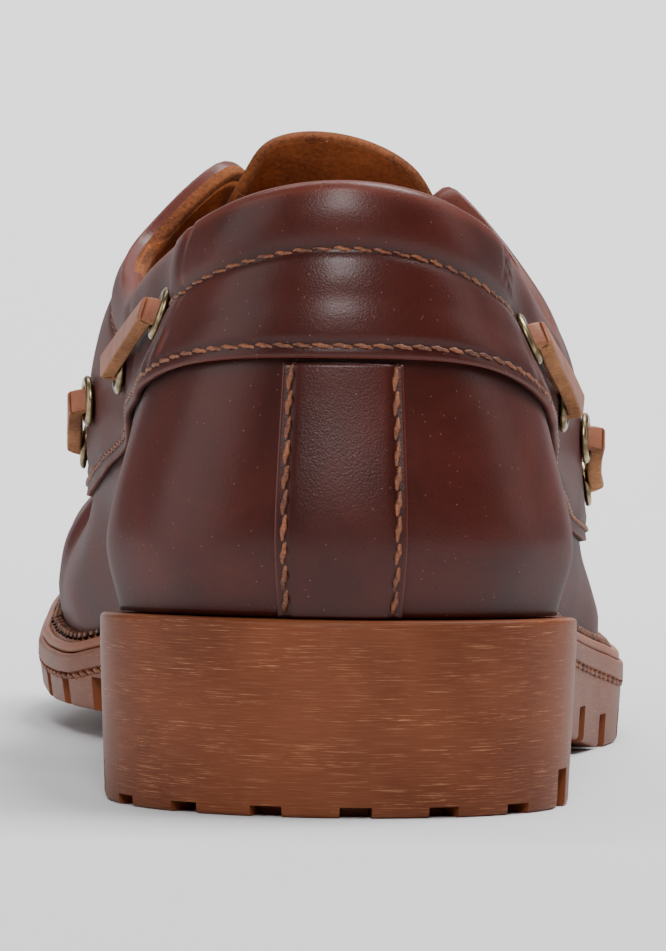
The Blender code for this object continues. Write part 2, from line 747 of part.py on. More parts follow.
def tongue_section(walk, depth):
    """Points across the tongue at a depth under the form, lateral side first."""
    halves = []
    for side in (LATERAL_SIDE, MEDIAL_SIDE):
        top = half_section(side, walk)[2][-1][0]
        edge = level_at_reach(side, walk, top + TONGUE_LAP)
        halves.append([form(side, walk, edge + (1 - edge) * share, -depth) for share in TONGUE_LAPS])
    lateral, medial = halves
    bridge = []
    for share in TONGUE_BRIDGE:
        place = lateral[-1].lerp(medial[-1], share)
        place.z += TONGUE_CROWN * 4 * share * (1 - share)
        bridge.append(place)
    return lateral + bridge + medial[::-1]


def build_tongue():
    under = BAND_STAND + UPPER_WALL + 2 * CLEAR
    rings = []
    for along in TONGUE_ALONG:
        walk = walk_at(along * SOLE_LENGTH)
        outer = tongue_section(walk, under)
        inner = tongue_section(walk, under + TONGUE_WALL)
        rings.append(outer + inner[::-1])
    slope = math.radians(TONGUE_SLOPE)
    heading = Vector((0.0, -math.cos(slope), math.sin(slope)))
    last = rings[-1]
    half = len(last) // 2
    middle = sum((point.x for point in last[:half])) / half
    widest = max(abs(point.x - middle) for point in last)
    for share in TONGUE_OUT:
        ring = []
        for point in last:
            aside = min(abs(point.x - middle) / widest, 1.0)
            reach = TONGUE_RISE * share * (1 - TONGUE_ROUND * aside ** 2.5)
            place = point + heading * reach
            place.x = middle + (place.x - middle) * (1 - TONGUE_NARROW * share ** 2)
            ring.append(place)
        rings.append(ring)
    bm = bmesh.new()
    tube_of(bm, rings, ends=True)
    return add_object("tongue", mesh_of(bm, "tongue"), LEATHER)


# Eyelets: turned brass rings through the band and the upper

def eyelet_seat(side, row):
    """Middle of an eyelet on the band, and the direction straight out of it."""
    walk = walk_at(row[0] * SOLE_LENGTH)
    level = level_of(side, walk, row[1 if side == LATERAL_SIDE else 2] * COLLAR_HEIGHT)
    return form(side, walk, level), outward(side, walk, level)


def seat_matrix(side, row):
    place, normal = eyelet_seat(side, row)
    return Matrix.Translation(place) @ normal.to_track_quat("Z", "Y").to_matrix().to_4x4()


EYELETS = [(f"eyelet_{word}_{side_word}_{i + 1}", side, row)
           for word, rows in (("side", SIDE_EYELETS), ("throat", THROAT_EYELETS))
           for side_word, side in (("lateral", LATERAL_SIDE), ("medial", MEDIAL_SIDE))
           for i, row in enumerate(rows)]
EYELET_STEPS = 8


def build_eyelets():
    bore = EYELET_BORE / 2
    barrel = bore + EYELET_WALL
    depth = BAND_STAND + UPPER_WALL
    lift = CLEAR + EYELET_DISH
    top = lift + EYELET_FLANGE
    profile = (
        (bore, -depth), (barrel, -depth), (barrel, lift), (EYELET_OUTER / 2, lift),
        (EYELET_OUTER / 2 - EYELET_FLANGE / 2, top), (bore + EYELET_WALL / 2, top),
    )
    for name, side, row in EYELETS:
        bm = bmesh.new()
        ring = [bm.verts.new((distance, 0.0, height)) for distance, height in profile]
        edges = [bm.edges.new((ring[i], ring[(i + 1) % len(ring)])) for i in range(len(ring))]
        bmesh.ops.spin(bm, geom=ring + edges, axis=(0, 0, 1), cent=(0, 0, 0), steps=EYELET_STEPS,
                       angle=math.radians(360), use_merge=True)
        add_object(name, mesh_of(bm, name), BRASS, seat_matrix(side, row))


def cut_eyelet_holes(*pieces):
    bm = bmesh.new()
    radius = EYELET_BORE / 2 + EYELET_WALL + CLEAR
    for _, side, row in EYELETS:
        bmesh.ops.create_cone(bm, cap_ends=True, segments=EYELET_STEPS, radius1=radius, radius2=radius,
                              depth=4 * EYELET_BORE, matrix=seat_matrix(side, row))
    holes = add_cutter("eyelet_holes", mesh_of(bm, "eyelet_holes"))
    for piece in pieces:
        cut(piece, holes)


# Lace: a leather thong, outside between two eyelets twice on each side, and crossed at the throat

LACE_CORNERS = ((-1, -1), (1, -1), (1, 1), (-1, 1))
LACE_SHARES = (0.0, 0.16, 0.36, 0.64, 0.84, 1.0)


def lace_rings(places, normals):
    """Rectangular rings along a route, flat on the side that faces the shoe."""
    rings = []
    for i, (place, normal) in enumerate(zip(places, normals)):
        ahead = places[min(i + 1, len(places) - 1)] - places[max(i - 1, 0)]
        across = ahead.cross(normal).normalized() * (LACE_WIDTH / 2)
        up = across.cross(ahead).normalized() * (LACE_THICK / 2)
        rings.append([place + across * a + up * b for a, b in LACE_CORNERS])
    return rings


def lace_stand(share):
    """Height of the thong's middle over the band: over the eyelets at its ends, lower between."""
    over = 2 * CLEAR + EYELET_DISH + EYELET_FLANGE
    rest = 2 * CLEAR
    near = max(blend(0.36, 0.20, share), blend(0.64, 0.80, share))
    return LACE_THICK / 2 + rest + (over - rest) * near


def build_side_laces():
    for side_word, side in (("lateral", LATERAL_SIDE), ("medial", MEDIAL_SIDE)):
        for number, (first, last) in enumerate(((0, 1), (2, 3))):
            index = 1 if side == LATERAL_SIDE else 2
            start, end = SIDE_EYELETS[first], SIDE_EYELETS[last]
            places, normals = [], []
            for share in LACE_SHARES:
                along = start[0] + (end[0] - start[0]) * share
                height = start[index] + (end[index] - start[index]) * share
                place, normal = eyelet_seat(side, (along, height, height))
                places.append(place + normal * lace_stand(share))
                normals.append(normal)
            bm = bmesh.new()
            tube_of(bm, lace_rings(places, normals), ends=True)
            name = f"lace_side_{side_word}_{number + 1}"
            add_object(name, mesh_of(bm, name), THONG)


def throat_route(row):
    """Route over the throat between the two eyelets of a pair, lateral side first."""
    over = lace_stand(0.0)
    walk = walk_at(row[0] * SOLE_LENGTH)
    halves = []
    for side in (LATERAL_SIDE, MEDIAL_SIDE):
        level = level_of(side, walk, row[1 if side == LATERAL_SIDE else 2] * COLLAR_HEIGHT)
        levels = [level + (1 - level) * share for share in (0.0, 0.5, 1.0)]
        halves.append([(form(side, walk, at, over), outward(side, walk, at)) for at in levels])
    lateral, medial = halves
    middle = lateral[-1][0].lerp(medial[-1][0], 0.5)
    middle.z = max(lateral[-1][0].z, medial[-1][0].z) + THROAT_ARCH
    stops = lateral + [(middle, lateral[-1][1] + medial[-1][1])] + medial[::-1]
    return [place for place, normal in stops], [normal for place, normal in stops]


def build_throat_laces():
    for number, row in enumerate(THROAT_EYELETS[1:]):
        bm = bmesh.new()
        tube_of(bm, lace_rings(*throat_route(row)), ends=True)
        name = f"lace_throat_{number + 1}"
        add_object(name, mesh_of(bm, name), THONG)


outsole = build_outsole()
cut_heel_notches(outsole)
cut_tread(outsole)
build_welt()
build_insole()
upper = build_upper()
band = build_band()
build_back_strip()
build_tongue()
build_eyelets()
cut_eyelet_holes(upper, band)
build_side_laces()
build_throat_laces()
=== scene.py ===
import math
from bisect import bisect_right
from functools import lru_cache

import bmesh
import bpy
from mathutils import Matrix, Vector, noise


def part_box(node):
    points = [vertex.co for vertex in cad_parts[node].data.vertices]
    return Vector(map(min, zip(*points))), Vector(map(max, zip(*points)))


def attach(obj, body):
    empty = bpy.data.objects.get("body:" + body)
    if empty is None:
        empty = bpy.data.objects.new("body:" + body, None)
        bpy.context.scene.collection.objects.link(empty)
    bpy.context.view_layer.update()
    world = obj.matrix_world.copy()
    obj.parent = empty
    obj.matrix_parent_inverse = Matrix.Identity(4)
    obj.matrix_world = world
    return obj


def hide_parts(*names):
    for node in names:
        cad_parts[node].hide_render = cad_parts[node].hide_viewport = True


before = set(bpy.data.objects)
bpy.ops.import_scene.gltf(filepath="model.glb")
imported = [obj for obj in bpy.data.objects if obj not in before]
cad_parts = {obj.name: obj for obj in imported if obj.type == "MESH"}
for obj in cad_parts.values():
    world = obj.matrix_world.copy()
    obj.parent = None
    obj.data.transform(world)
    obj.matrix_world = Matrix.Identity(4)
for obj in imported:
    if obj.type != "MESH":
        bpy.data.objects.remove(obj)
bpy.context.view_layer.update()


# Outsole: one unit of gum rubber from a two-part mould, with a heel block, a rim round the forefoot and
# lugs in its tread. Its side is brushed after moulding, which leaves fine pale lines round it.

SOLE_LENGTH = 0.300
HALF_BALL = 0.0559
HALF_HEEL = 0.038
HEEL_HEIGHT = 0.0303
FOREFOOT_THICKNESS = 0.0152
TOE_SPRING = 0.016
ARCH_HEIGHT = 0.006
MEDIAL_LIFT = 0.0055
HEEL_CENTRE = 0.12
TOE_CENTRE = 0.717
BALL_AT = 0.667
BREAST_AT = 0.277
BREAST_SLOPE = 0.0025
TOE_SWING = 0.108
HEEL_ROUNDNESS = 2.1
TOE_ROUNDNESS = 2.25
HEEL_Y = HEEL_CENTRE * SOLE_LENGTH
TOE_Y = TOE_CENTRE * SOLE_LENGTH
LATERAL_SIDE, MEDIAL_SIDE = 1, -1

HEEL_TAPER = 0.0010
EDGE_ROUND = 0.0008
RIM = 0.0036
GROOVE_WIDTH = 0.0012
GROOVE_DEPTH = 0.0009
OVERHANG = 0.0004
LUG_GAP = 0.0050
LUG_DEPTH = 0.0034
LUG_PITCH = 0.018
SIDE_NOTCH = 0.0062
SIDE_NOTCH_IN = 0.0042
HEEL_NOTCH = 0.0017
HEEL_NOTCH_IN = 0.0095
NOTCH_PITCH = 22.7      # degrees between the notches round the heel
NOTCH_START = 4.6
FRONT_NOTCHES = 65.0    # degrees from the back at which the notches are as tall as the forefoot's
CROSS_CUTS = (0.55, 0.90)
TREAD_START, TREAD_END = 0.377, 0.93
CUTTER_SPARE = 0.004
SHARP_EDGE = math.radians(50)

# Plan of the last. spine: share of half the ball width; sole: share of the local half width
PLAN = (
    # along, spine, sole
    (0.120, 0.000, 1.000),
    (0.190, 0.000, 0.944),
    (0.267, 0.011, 0.873),
    (0.367, 0.045, 0.828),
    (0.407, 0.054, 0.848),
    (0.460, 0.060, 0.890),
    (0.550, 0.032, 1.000),
    (0.627, -0.013, 1.005),
    (0.717, -0.058, 0.973),
)

# Side view of the sole, as shares of the heel height, the forefoot, the toe spring and the arch
SOLE_LINE = (
    # along, heel, fore, spring, arch
    (0.000, 1.000, 0.00, 0.00, 1.00),
    (0.120, 0.972, 0.00, 0.00, 1.00),
    (0.267, 0.800, 0.18, 0.00, 1.00),
    (0.367, 0.500, 0.52, 0.00, 0.90),
    (0.440, 0.270, 0.76, 0.00, 0.42),
    (0.500, 0.110, 0.91, 0.00, 0.00),
    (0.550, 0.000, 1.00, 0.00, 0.00),
    (0.620, 0.000, 1.00, 0.00, 0.00),
    (0.717, 0.000, 0.97, 0.22, 0.00),
    (0.817, 0.000, 0.93, 0.49, 0.00),
    (1.000, 0.000, 0.88, 1.00, 0.00),
)


def ease(low, high, x):
    """0 below low, 1 above high and a smooth rise between."""
    t = min(max((x - low) / (high - low), 0.0), 1.0)
    return t * t * (3 - 2 * t)


def column(rows, x, index):
    """A column of a table at x: a smooth curve through its rows, level at both ends."""
    x = min(max(x, rows[0][0]), rows[-1][0])
    at = max(i for i in range(len(rows) - 1) if rows[i][0] <= x)

    def slope(i):
        if i == 0 or i == len(rows) - 1:
            return 0.0
        return (rows[i + 1][index] - rows[i - 1][index]) / (rows[i + 1][0] - rows[i - 1][0])

    span = rows[at + 1][0] - rows[at][0]
    t = (x - rows[at][0]) / span
    rise = t * t * (3 - 2 * t)
    bend = slope(at) * t * (1 - t) ** 2 - slope(at + 1) * t * t * (1 - t)
    return rows[at][index] * (1 - rise) + rows[at + 1][index] * rise + bend * span


@lru_cache(maxsize=None)
def toe_rise(y):
    return max(column(SOLE_LINE, y / SOLE_LENGTH, 3), 0.0) * TOE_SPRING


@lru_cache(maxsize=None)
def sole_top(y):
    along = y / SOLE_LENGTH
    heel = column(SOLE_LINE, along, 1) * HEEL_HEIGHT
    return heel + column(SOLE_LINE, along, 2) * FOREFOOT_THICKNESS + toe_rise(y)


def sole_bottom(y, across):
    """Underside of the sole; across runs from -1 at the medial edge to 1 at the lateral edge."""
    along = y / SOLE_LENGTH
    behind = min(max((y - BREAST_AT * SOLE_LENGTH) / BREAST_SLOPE, 0.0), 1.0)
    lift = MEDIAL_LIFT * max(0.0, -across - 0.3) / 0.7
    waist = max(column(SOLE_LINE, along, 4), 0.0) * ARCH_HEIGHT + lift * ease(1.02, 0.85, along)
    return behind * waist + toe_rise(y)


def walk_at(along):
    """Place on the walk round half the shoe: 0 at the back, 1 to 2 along the side, 3 at the tip."""
    return 1 + (along - HEEL_CENTRE) / (TOE_CENTRE - HEEL_CENTRE)


def along_of(walk):
    if walk < 1:
        return HEEL_CENTRE * (1 - math.cos(math.radians(90 * walk)))
    return HEEL_CENTRE + (TOE_CENTRE - HEEL_CENTRE) * (walk - 1)


@lru_cache(maxsize=None)
def station(side, walk):
    """Foot of the section at a place on the walk, its outward direction and the sole's half width."""
    y = HEEL_Y + (TOE_Y - HEEL_Y) * min(max(walk - 1, 0.0), 1.0)
    along = y / SOLE_LENGTH
    mix = min(max((along - HEEL_CENTRE) / (BALL_AT - HEEL_CENTRE), 0.0), 1.0)
    half = column(PLAN, along, 2) * (HALF_HEEL + (HALF_BALL - HALF_HEEL) * mix)
    angle = math.radians(90 * min(walk, 1.0, 3 - walk))
    forward = -1 if walk < 1 else 1
    direction = Vector((side * math.sin(angle), forward * math.cos(angle), 0.0))
    return Vector((column(PLAN, along, 1) * HALF_BALL, y, 0.0)), direction, half


def fanned(walk, wide, deep):
    """Reach of a section of the heel's or the toe's fan, between its width and its depth."""
    if 1 <= walk <= 2:
        return wide
    if wide <= 0 or deep <= 0:
        return 0.0
    power = HEEL_ROUNDNESS if walk < 1 else TOE_ROUNDNESS
    angle = math.radians(90 * min(walk, 3 - walk))
    return ((math.sin(angle) / wide) ** power + (math.cos(angle) / deep) ** power) ** (-1 / power)


def swing(point):
    """The toe's curve towards the medial side."""
    past = max(0.0, (point.y - TOE_Y) / (SOLE_LENGTH - TOE_Y))
    return Vector((point.x - TOE_SWING * HALF_BALL * past ** 2, point.y, point.z))


def sole_edge(side, walk, inset=0.0):
    foot, direction, half = station(side, walk)
    reach = fanned(walk, half, HEEL_Y if walk < 1 else SOLE_LENGTH - TOE_Y)
    return swing(foot + direction * (reach - inset))


OUTLINE = [sole_edge(side, 0.05 * i) for side in (LATERAL_SIDE, MEDIAL_SIDE) for i in range(61)]
MIDDLE = Vector(((max(p.x for p in OUTLINE) + min(p.x for p in OUTLINE)) / 2, SOLE_LENGTH / 2, 0.0))

HEEL_STEPS, SIDE_STEPS, TOE_STEPS = 36, 120, 60
WALKS = sorted([i / HEEL_STEPS for i in range(HEEL_STEPS)]
               + [1 + i / SIDE_STEPS for i in range(SIDE_STEPS)]
               + [2 + i / TOE_STEPS for i in range(TOE_STEPS + 1)])


def round_trip(walks):
    """Stations from the far end of the walks back to the heel and out again on the other side."""
    return [(MEDIAL_SIDE, walk) for walk in reversed(walks)] + [(LATERAL_SIDE, walk) for walk in walks[1:]]


def lengths_along(places):
    """Length from the first place to each place."""
    lengths = [0.0]
    for a, b in zip(places, places[1:]):
        lengths.append(lengths[-1] + (b - a).length)
    return lengths


def laid_grid(bm, columns, rows, place, marks=None):
    """A grid laid on the last: place(column, row) puts each vertex. Its UV is in metres both ways."""
    uv = bm.loops.layers.uv.verify()
    if marks:
        layer = bm.verts.layers.float.get("shade") or bm.verts.layers.float.new("shade")
    made = bmesh.ops.create_grid(bm, x_segments=len(columns) - 1, y_segments=len(rows) - 1, size=0.5)["verts"]
    at = {}
    for vert in made:
        i = round((vert.co.x + 0.5) * (len(columns) - 1))
        j = round((vert.co.y + 0.5) * (len(rows) - 1))
        at[vert] = (i, j)
        vert.co = place(columns[i], rows[j])
    if marks:
        for vert, (i, j) in at.items():
            vert[layer] = marks(columns[i], rows[j])
    grid = {cell: vert for vert, cell in at.items()}
    travel = lengths_along([grid[i, len(rows) // 2].co for i in range(len(columns))])
    for face in {face for vert in made for face in vert.link_faces}:
        face.smooth = True
        for loop in face.loops:
            i, j = at[loop.vert]
            loop[uv].uv = (travel[i], loop.vert.co.z)
    return grid


def made_object(name, bm, *materials):
    """An object on the root body, with its place in its mesh and its faces pointing out."""
    bmesh.ops.remove_doubles(bm, verts=bm.verts, dist=2e-6)
    bmesh.ops.dissolve_degenerate(bm, edges=bm.edges, dist=1e-7)
    bmesh.ops.translate(bm, verts=bm.verts, vec=-MIDDLE)
    bmesh.ops.recalc_face_normals(bm, faces=bm.faces)
    mesh = bpy.data.meshes.new(name)
    bm.to_mesh(mesh)
    bm.free()
    for material in materials:
        mesh.materials.append(material)
    piece = bpy.data.objects.new(name, mesh)
    bpy.context.scene.collection.objects.link(piece)
    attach(piece, "root")
    return piece


def feed(tree, socket, value):
    """Give a socket its value, or the socket that feeds it."""
    if isinstance(value, bpy.types.NodeSocket):
        tree.links.new(value, socket)
    else:
        socket.default_value = value


def add_node(tree, kind, inputs, **settings):
    """A node with its settings, and each input a value or the socket that feeds it."""
    made = tree.nodes.new(kind)
    for name, value in settings.items():
        setattr(made, name, value)
    for key, value in inputs.items():
        feed(tree, made.inputs[key], value)
    return made


def worked(tree, operation, *values):
    """The result of a sum, product or the like of sockets and numbers."""
    return add_node(tree, "ShaderNodeMath", dict(enumerate(values)), operation=operation).outputs[0]


def cloudy(tree, place, scale, **more):
    """Noise of a scale, as a share about a half."""
    return add_node(tree, "ShaderNodeTexNoise", {"Vector": place, "Scale": scale, **more}).outputs["Fac"]


def stretched(tree, place, along, up):
    """The piece's own UV, in its own steps along it and up it."""
    return add_node(tree, "ShaderNodeMapping", {"Vector": place, "Scale": (along, up, 1.0)}).outputs["Vector"]


def mixed(tree, share, low, high):
    """One colour over another by a share."""
    colours = [value if isinstance(value, bpy.types.NodeSocket) else (*value, 1.0) for value in (low, high)]
    inputs = {0: share, 6: colours[0], 7: colours[1]}
    return add_node(tree, "ShaderNodeMix", inputs, data_type="RGBA").outputs[2]


def ranged(tree, value, low, high, to_low, to_high):
    return add_node(tree, "ShaderNodeMapRange", {"Value": value, "From Min": low, "From Max": high,
                                                 "To Min": to_low, "To Max": to_high}).outputs["Result"]


def surface_finish(name):
    """A new material with its tree, its one shader and its places."""
    material = bpy.data.materials.new(name)
    material.use_nodes = True
    tree = material.node_tree
    return material, tree, tree.nodes["Principled BSDF"], add_node(tree, "ShaderNodeTexCoord", {}).outputs


def dressed(tree, shader, colour, rough, specular, height, strength, depth):
    """Colour, roughness and shine of a surface, and its fine relief."""
    bump = add_node(tree, "ShaderNodeBump", {"Height": height, "Strength": strength, "Distance": depth})
    feed(tree, shader.inputs["Base Color"], colour)
    feed(tree, shader.inputs["Roughness"], rough)
    feed(tree, shader.inputs["Normal"], bump.outputs["Normal"])
    shader.inputs["Specular IOR Level"].default_value = specular


def gum_finish(name, pale, deep, scratched):
    """Gum rubber: satin, mottled, with fine brushed lines that follow the side."""
    material, tree, shader, place = surface_finish(name)
    clouds = cloudy(tree, place["Object"], 45.0, Detail=5.0)
    lines = cloudy(tree, stretched(tree, place["UV"], 140.0, 6000.0), 1.0, Detail=3.0, Roughness=0.7)
    patches = cloudy(tree, stretched(tree, place["UV"], 45.0, 420.0), 1.0, Detail=2.0)
    thin = ranged(tree, lines, 0.58, 0.68, 0.0, 0.9)
    near = ranged(tree, patches, 0.42, 0.64, 0.10, 1.0)
    line = worked(tree, "MULTIPLY", worked(tree, "MULTIPLY", thin, near), scratched)
    colour = mixed(tree, ranged(tree, clouds, 0.35, 0.65, 0.0, 1.0), deep, pale)
    colour = mixed(tree, ranged(tree, lines, 0.40, 0.66, 0.0, 0.25 * scratched), colour, (0.25, 0.10, 0.050))
    colour = mixed(tree, line, colour, (0.50, 0.25, 0.125))
    pits = worked(tree, "ADD", cloudy(tree, place["Object"], 1900.0, Detail=3.0), lines)
    dressed(tree, shader, colour, ranged(tree, line, 0.0, 1.0, 0.46, 0.72), 0.14, pits, 0.22, 0.0002)
    return material


GUM = gum_finish("brushed_gum", (0.155, 0.043, 0.0175), (0.105, 0.027, 0.0105), 1.0)
MOULDED_GUM = gum_finish("moulded_gum", (0.21, 0.060, 0.022), (0.155, 0.042, 0.016), 0.15)


def side_profile(top, low, fore):
    """Points down the sole's side as (inset, height): round edge, rim, stitched groove, wall, foot."""
    turns = [math.radians(22.5 * i) for i in range(5)]
    step = top - RIM
    cut = GROOVE_DEPTH * fore
    hang = OVERHANG * fore
    foot = low + EDGE_ROUND
    rim = [(EDGE_ROUND * (1 - math.sin(turn)), top - EDGE_ROUND * (1 - math.cos(turn))) for turn in turns]
    rim += [(0.0, top - RIM * share) for share in (0.5, 0.8, 0.96)]
    groove = [(cut * 0.35, step - GROOVE_WIDTH * 0.05), (cut, step - GROOVE_WIDTH * 0.3),
              (cut, step - GROOVE_WIDTH * 0.7), (max(cut * 0.5, hang), step - GROOVE_WIDTH * 0.95)]
    start = step - GROOVE_WIDTH
    wall = [(hang + (HEEL_TAPER - hang) * share, start + (foot - start) * share)
            for share in (0.02, 0.2, 0.4, 0.6, 0.8, 1.0)]
    under = [(HEEL_TAPER + EDGE_ROUND * (1 - math.cos(turn)), foot - EDGE_ROUND * math.sin(turn))
             for turn in turns[1:]]
    return rim + groove + wall + under


@lru_cache(maxsize=None)
def side_points(side, walk):
    edge = sole_edge(side, walk)
    fore = ease(BREAST_AT, BREAST_AT + 0.03, edge.y / SOLE_LENGTH)
    across = side * abs(station(side, walk)[1].x)
    points = []
    for inset, height in side_profile(sole_top(edge.y), sole_bottom(edge.y, across), fore):
        place = sole_edge(side, walk, inset)
        place.z = height
        points.append(place)
    return points


def sole_face(height_of, index):
    """Places across the sole between the same points of both its sides."""
    def place(walk, share):
        medial, lateral = (side_points(side, walk)[index] for side in (MEDIAL_SIDE, LATERAL_SIDE))
        point = medial.lerp(lateral, (share + 1) / 2)
        if abs(share) < 1 and 0 < walk < 3:
            point.z = height_of(point.y, share)
        return point
    return place


def carve(piece, cutter, material):
    """Cut a closed mesh out of a piece, for good."""
    mesh = bpy.data.meshes.new("cutter")
    bmesh.ops.translate(cutter, verts=cutter.verts, vec=-MIDDLE)
    bmesh.ops.recalc_face_normals(cutter, faces=cutter.faces)
    cutter.to_mesh(mesh)
    cutter.free()
    mesh.materials.append(material)
    tool = bpy.data.objects.new("cutter", mesh)
    bpy.context.scene.collection.objects.link(tool)
    modifier = piece.modifiers.new("carve", "BOOLEAN")
    modifier.solver = "EXACT"
    modifier.operation = "DIFFERENCE"
    modifier.material_mode = "TRANSFER"
    modifier.object = tool
    bpy.context.view_layer.update()
    carved = bpy.data.meshes.new_from_object(piece.evaluated_get(bpy.context.evaluated_depsgraph_get()))
    piece.modifiers.clear()
    piece.data = carved
    bpy.data.objects.remove(tool)


def tread_box(bm, place, turn, size):
    made = bmesh.ops.create_cube(bm, size=1.0)["verts"]
    bmesh.ops.scale(bm, verts=made, vec=size)
    bmesh.ops.transform(bm, verts=made, matrix=Matrix.Translation(place) @ Matrix.Rotation(turn, 4, "Z"))


bm = bmesh.new()
profile_rows = list(range(len(side_profile(0.0, 0.0, 0.0))))
shares = [i / 10 for i in range(-10, 11)]
breast_walks = [walk_at(BREAST_AT), walk_at(BREAST_AT + BREAST_SLOPE / SOLE_LENGTH)]
sole_walks = sorted(WALKS + breast_walks)
laid_grid(bm, round_trip(sole_walks), profile_rows, lambda at, row: side_points(*at)[row])
laid_grid(bm, sole_walks, shares, sole_face(lambda y, share: sole_top(y), 0))
laid_grid(bm, sole_walks, shares, sole_face(sole_bottom, -1))
outsole = made_object("outsole_unit", bm, GUM, MOULDED_GUM)
for polygon in outsole.data.polygons:
    if polygon.normal.z > 0.8:
        polygon.material_index = 1

notches = bmesh.new()
for i in range(-4, 5):
    angle = math.radians(NOTCH_START + NOTCH_PITCH * i)
    tall = SIDE_NOTCH if abs(angle) > math.radians(FRONT_NOTCHES) else HEEL_NOTCH
    middle = HEEL_Y + CUTTER_SPARE - HEEL_NOTCH_IN / 2
    place = Vector((math.sin(angle) * middle, HEEL_Y - math.cos(angle) * middle, (tall - CUTTER_SPARE) / 2))
    tread_box(notches, place, angle, (LUG_GAP, HEEL_NOTCH_IN, tall + CUTTER_SPARE))
for share in CROSS_CUTS:
    place = Vector((0.0, share * BREAST_AT * SOLE_LENGTH, (HEEL_NOTCH - CUTTER_SPARE) / 2))
    tread_box(notches, place, 0.0, (HALF_HEEL * 1.2, LUG_GAP, HEEL_NOTCH + CUTTER_SPARE))
carve(outsole, notches, MOULDED_GUM)


def edge_at(side, y):
    """The sole's edge at a distance from the heel's back."""
    low, high = 0.0, 3.0
    for _ in range(30):
        middle = (low + high) / 2
        low, high = (middle, high) if sole_edge(side, middle).y < y else (low, middle)
    return sole_edge(side, (low + high) / 2)


bars = bmesh.new()
for i in range(int((TREAD_END - TREAD_START) * SOLE_LENGTH / LUG_PITCH) + 1):
    y = TREAD_START * SOLE_LENGTH + LUG_PITCH * i
    low, tall = sole_bottom(y, 0.0) + LUG_DEPTH, SIDE_NOTCH - LUG_DEPTH
    reach, below = 2 * HALF_BALL, LUG_DEPTH + CUTTER_SPARE
    lateral = edge_at(LATERAL_SIDE, y).x - SIDE_NOTCH_IN
    medial = edge_at(MEDIAL_SIDE, y).x + SIDE_NOTCH_IN
    lifted = sole_bottom(y, -1.0) - sole_bottom(y, 0.0)
    outline = ((-reach, low - below), (-reach, low + tall + lifted), (medial, low + tall + lifted),
               (medial, low), (lateral, low), (lateral, low + tall), (reach, low + tall),
                (reach, low - below))
    ring = [bars.verts.new((x, y - LUG_GAP / 2, z)) for x, z in outline]
    made = bmesh.ops.extrude_face_region(bars, geom=[bars.faces.new(ring)])["geom"]
    bmesh.ops.translate(bars, verts=[item for item in made if isinstance(item, bmesh.types.BMVert)],
                        vec=(0.0, LUG_GAP, 0.0))
carve(outsole, bars, MOULDED_GUM)
outsole.data.set_sharp_from_angle(angle=SHARP_EDGE)
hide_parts("outsole")


# Upper: the vamp with its wall and the counter, cut from 2 mm pull-up leather that is waxed and dyed
# burgundy over brown, pulled over the last and cemented to the sole, with its suede side to the foot.

COLLAR_HEIGHT = 0.0674
SEAT_INSET = 0.0032
WELT_WIDTH = 0.0055
UPPER_WALL = 0.0020
BAND_WALL = 0.0014
CLEAR = 0.0003
LAYER_CLEAR = 0.00045
BAND_STAND = BAND_WALL + LAYER_CLEAR
BAND_END = 0.615
BAND_STEP = 0.012
BAND_FADE = 0.08
BAND_RUNG = 0.45
TUCK_RUNG = 0.41
TUCK_START = 0.16
SEAM_RUNG = 0.63
SEAM_HEIGHT = 0.0017
SEAM_WIDTH = 0.0011
PLEAT_PITCH = 0.0056
PLEAT_DEPTH = 0.00042
PLEAT_REACH = 0.0062

# Wall of the last on each side, from the bulge above the sole to the opening's edge or the ridge of the
# vamp: widths as shares of the sole's half width, heights as shares of the collar height
LATERAL = (
    # along, bulge width, height, mid width, height, shoulder width, height, top width, height
    (0.120, 0.982, 0.190, 0.910, 0.465, 0.715, 0.720, 0.680, 0.873),
    (0.190, 0.985, 0.190, 0.940, 0.440, 0.872, 0.615, 0.820, 0.780),
    (0.267, 0.975, 0.190, 0.975, 0.430, 0.985, 0.570, 0.970, 0.707),
    (0.367, 1.000, 0.240, 1.050, 0.500, 0.975, 0.735, 0.740, 0.955),
    (0.407, 1.000, 0.250, 1.000, 0.470, 0.880, 0.820, 0.400, 1.190),
    (0.460, 0.970, 0.230, 0.925, 0.455, 0.800, 0.790, 0.300, 1.100),
    (0.550, 0.905, 0.160, 0.825, 0.370, 0.660, 0.690, 0.190, 0.925),
    (0.627, 0.905, 0.160, 0.830, 0.350, 0.580, 0.620, 0.150, 0.757),
    (0.655, 0.907, 0.160, 0.830, 0.345, 0.555, 0.595, 0.000, 0.705),
    (0.717, 0.910, 0.160, 0.830, 0.330, 0.520, 0.540, 0.000, 0.610),
)
MEDIAL = (
    # along, bulge width, height, mid width, height, shoulder width, height, top width, height
    (0.120, 0.982, 0.190, 0.910, 0.465, 0.735, 0.720, 0.690, 0.884),
    (0.190, 0.985, 0.200, 0.940, 0.475, 0.860, 0.665, 0.810, 0.847),
    (0.267, 0.995, 0.200, 1.000, 0.470, 1.005, 0.625, 0.972, 0.808),
    (0.367, 1.080, 0.250, 1.200, 0.540, 1.165, 0.780, 0.990, 1.010),
    (0.407, 1.060, 0.270, 1.190, 0.530, 1.060, 0.880, 0.600, 1.250),
    (0.460, 1.040, 0.260, 1.110, 0.490, 0.940, 0.870, 0.420, 1.160),
    (0.550, 0.980, 0.200, 0.935, 0.440, 0.740, 0.745, 0.240, 0.940),
    (0.627, 0.935, 0.180, 0.870, 0.370, 0.620, 0.640, 0.150, 0.757),
    (0.655, 0.930, 0.175, 0.863, 0.360, 0.575, 0.605, 0.000, 0.705),
    (0.717, 0.925, 0.170, 0.850, 0.340, 0.520, 0.540, 0.000, 0.610),
)
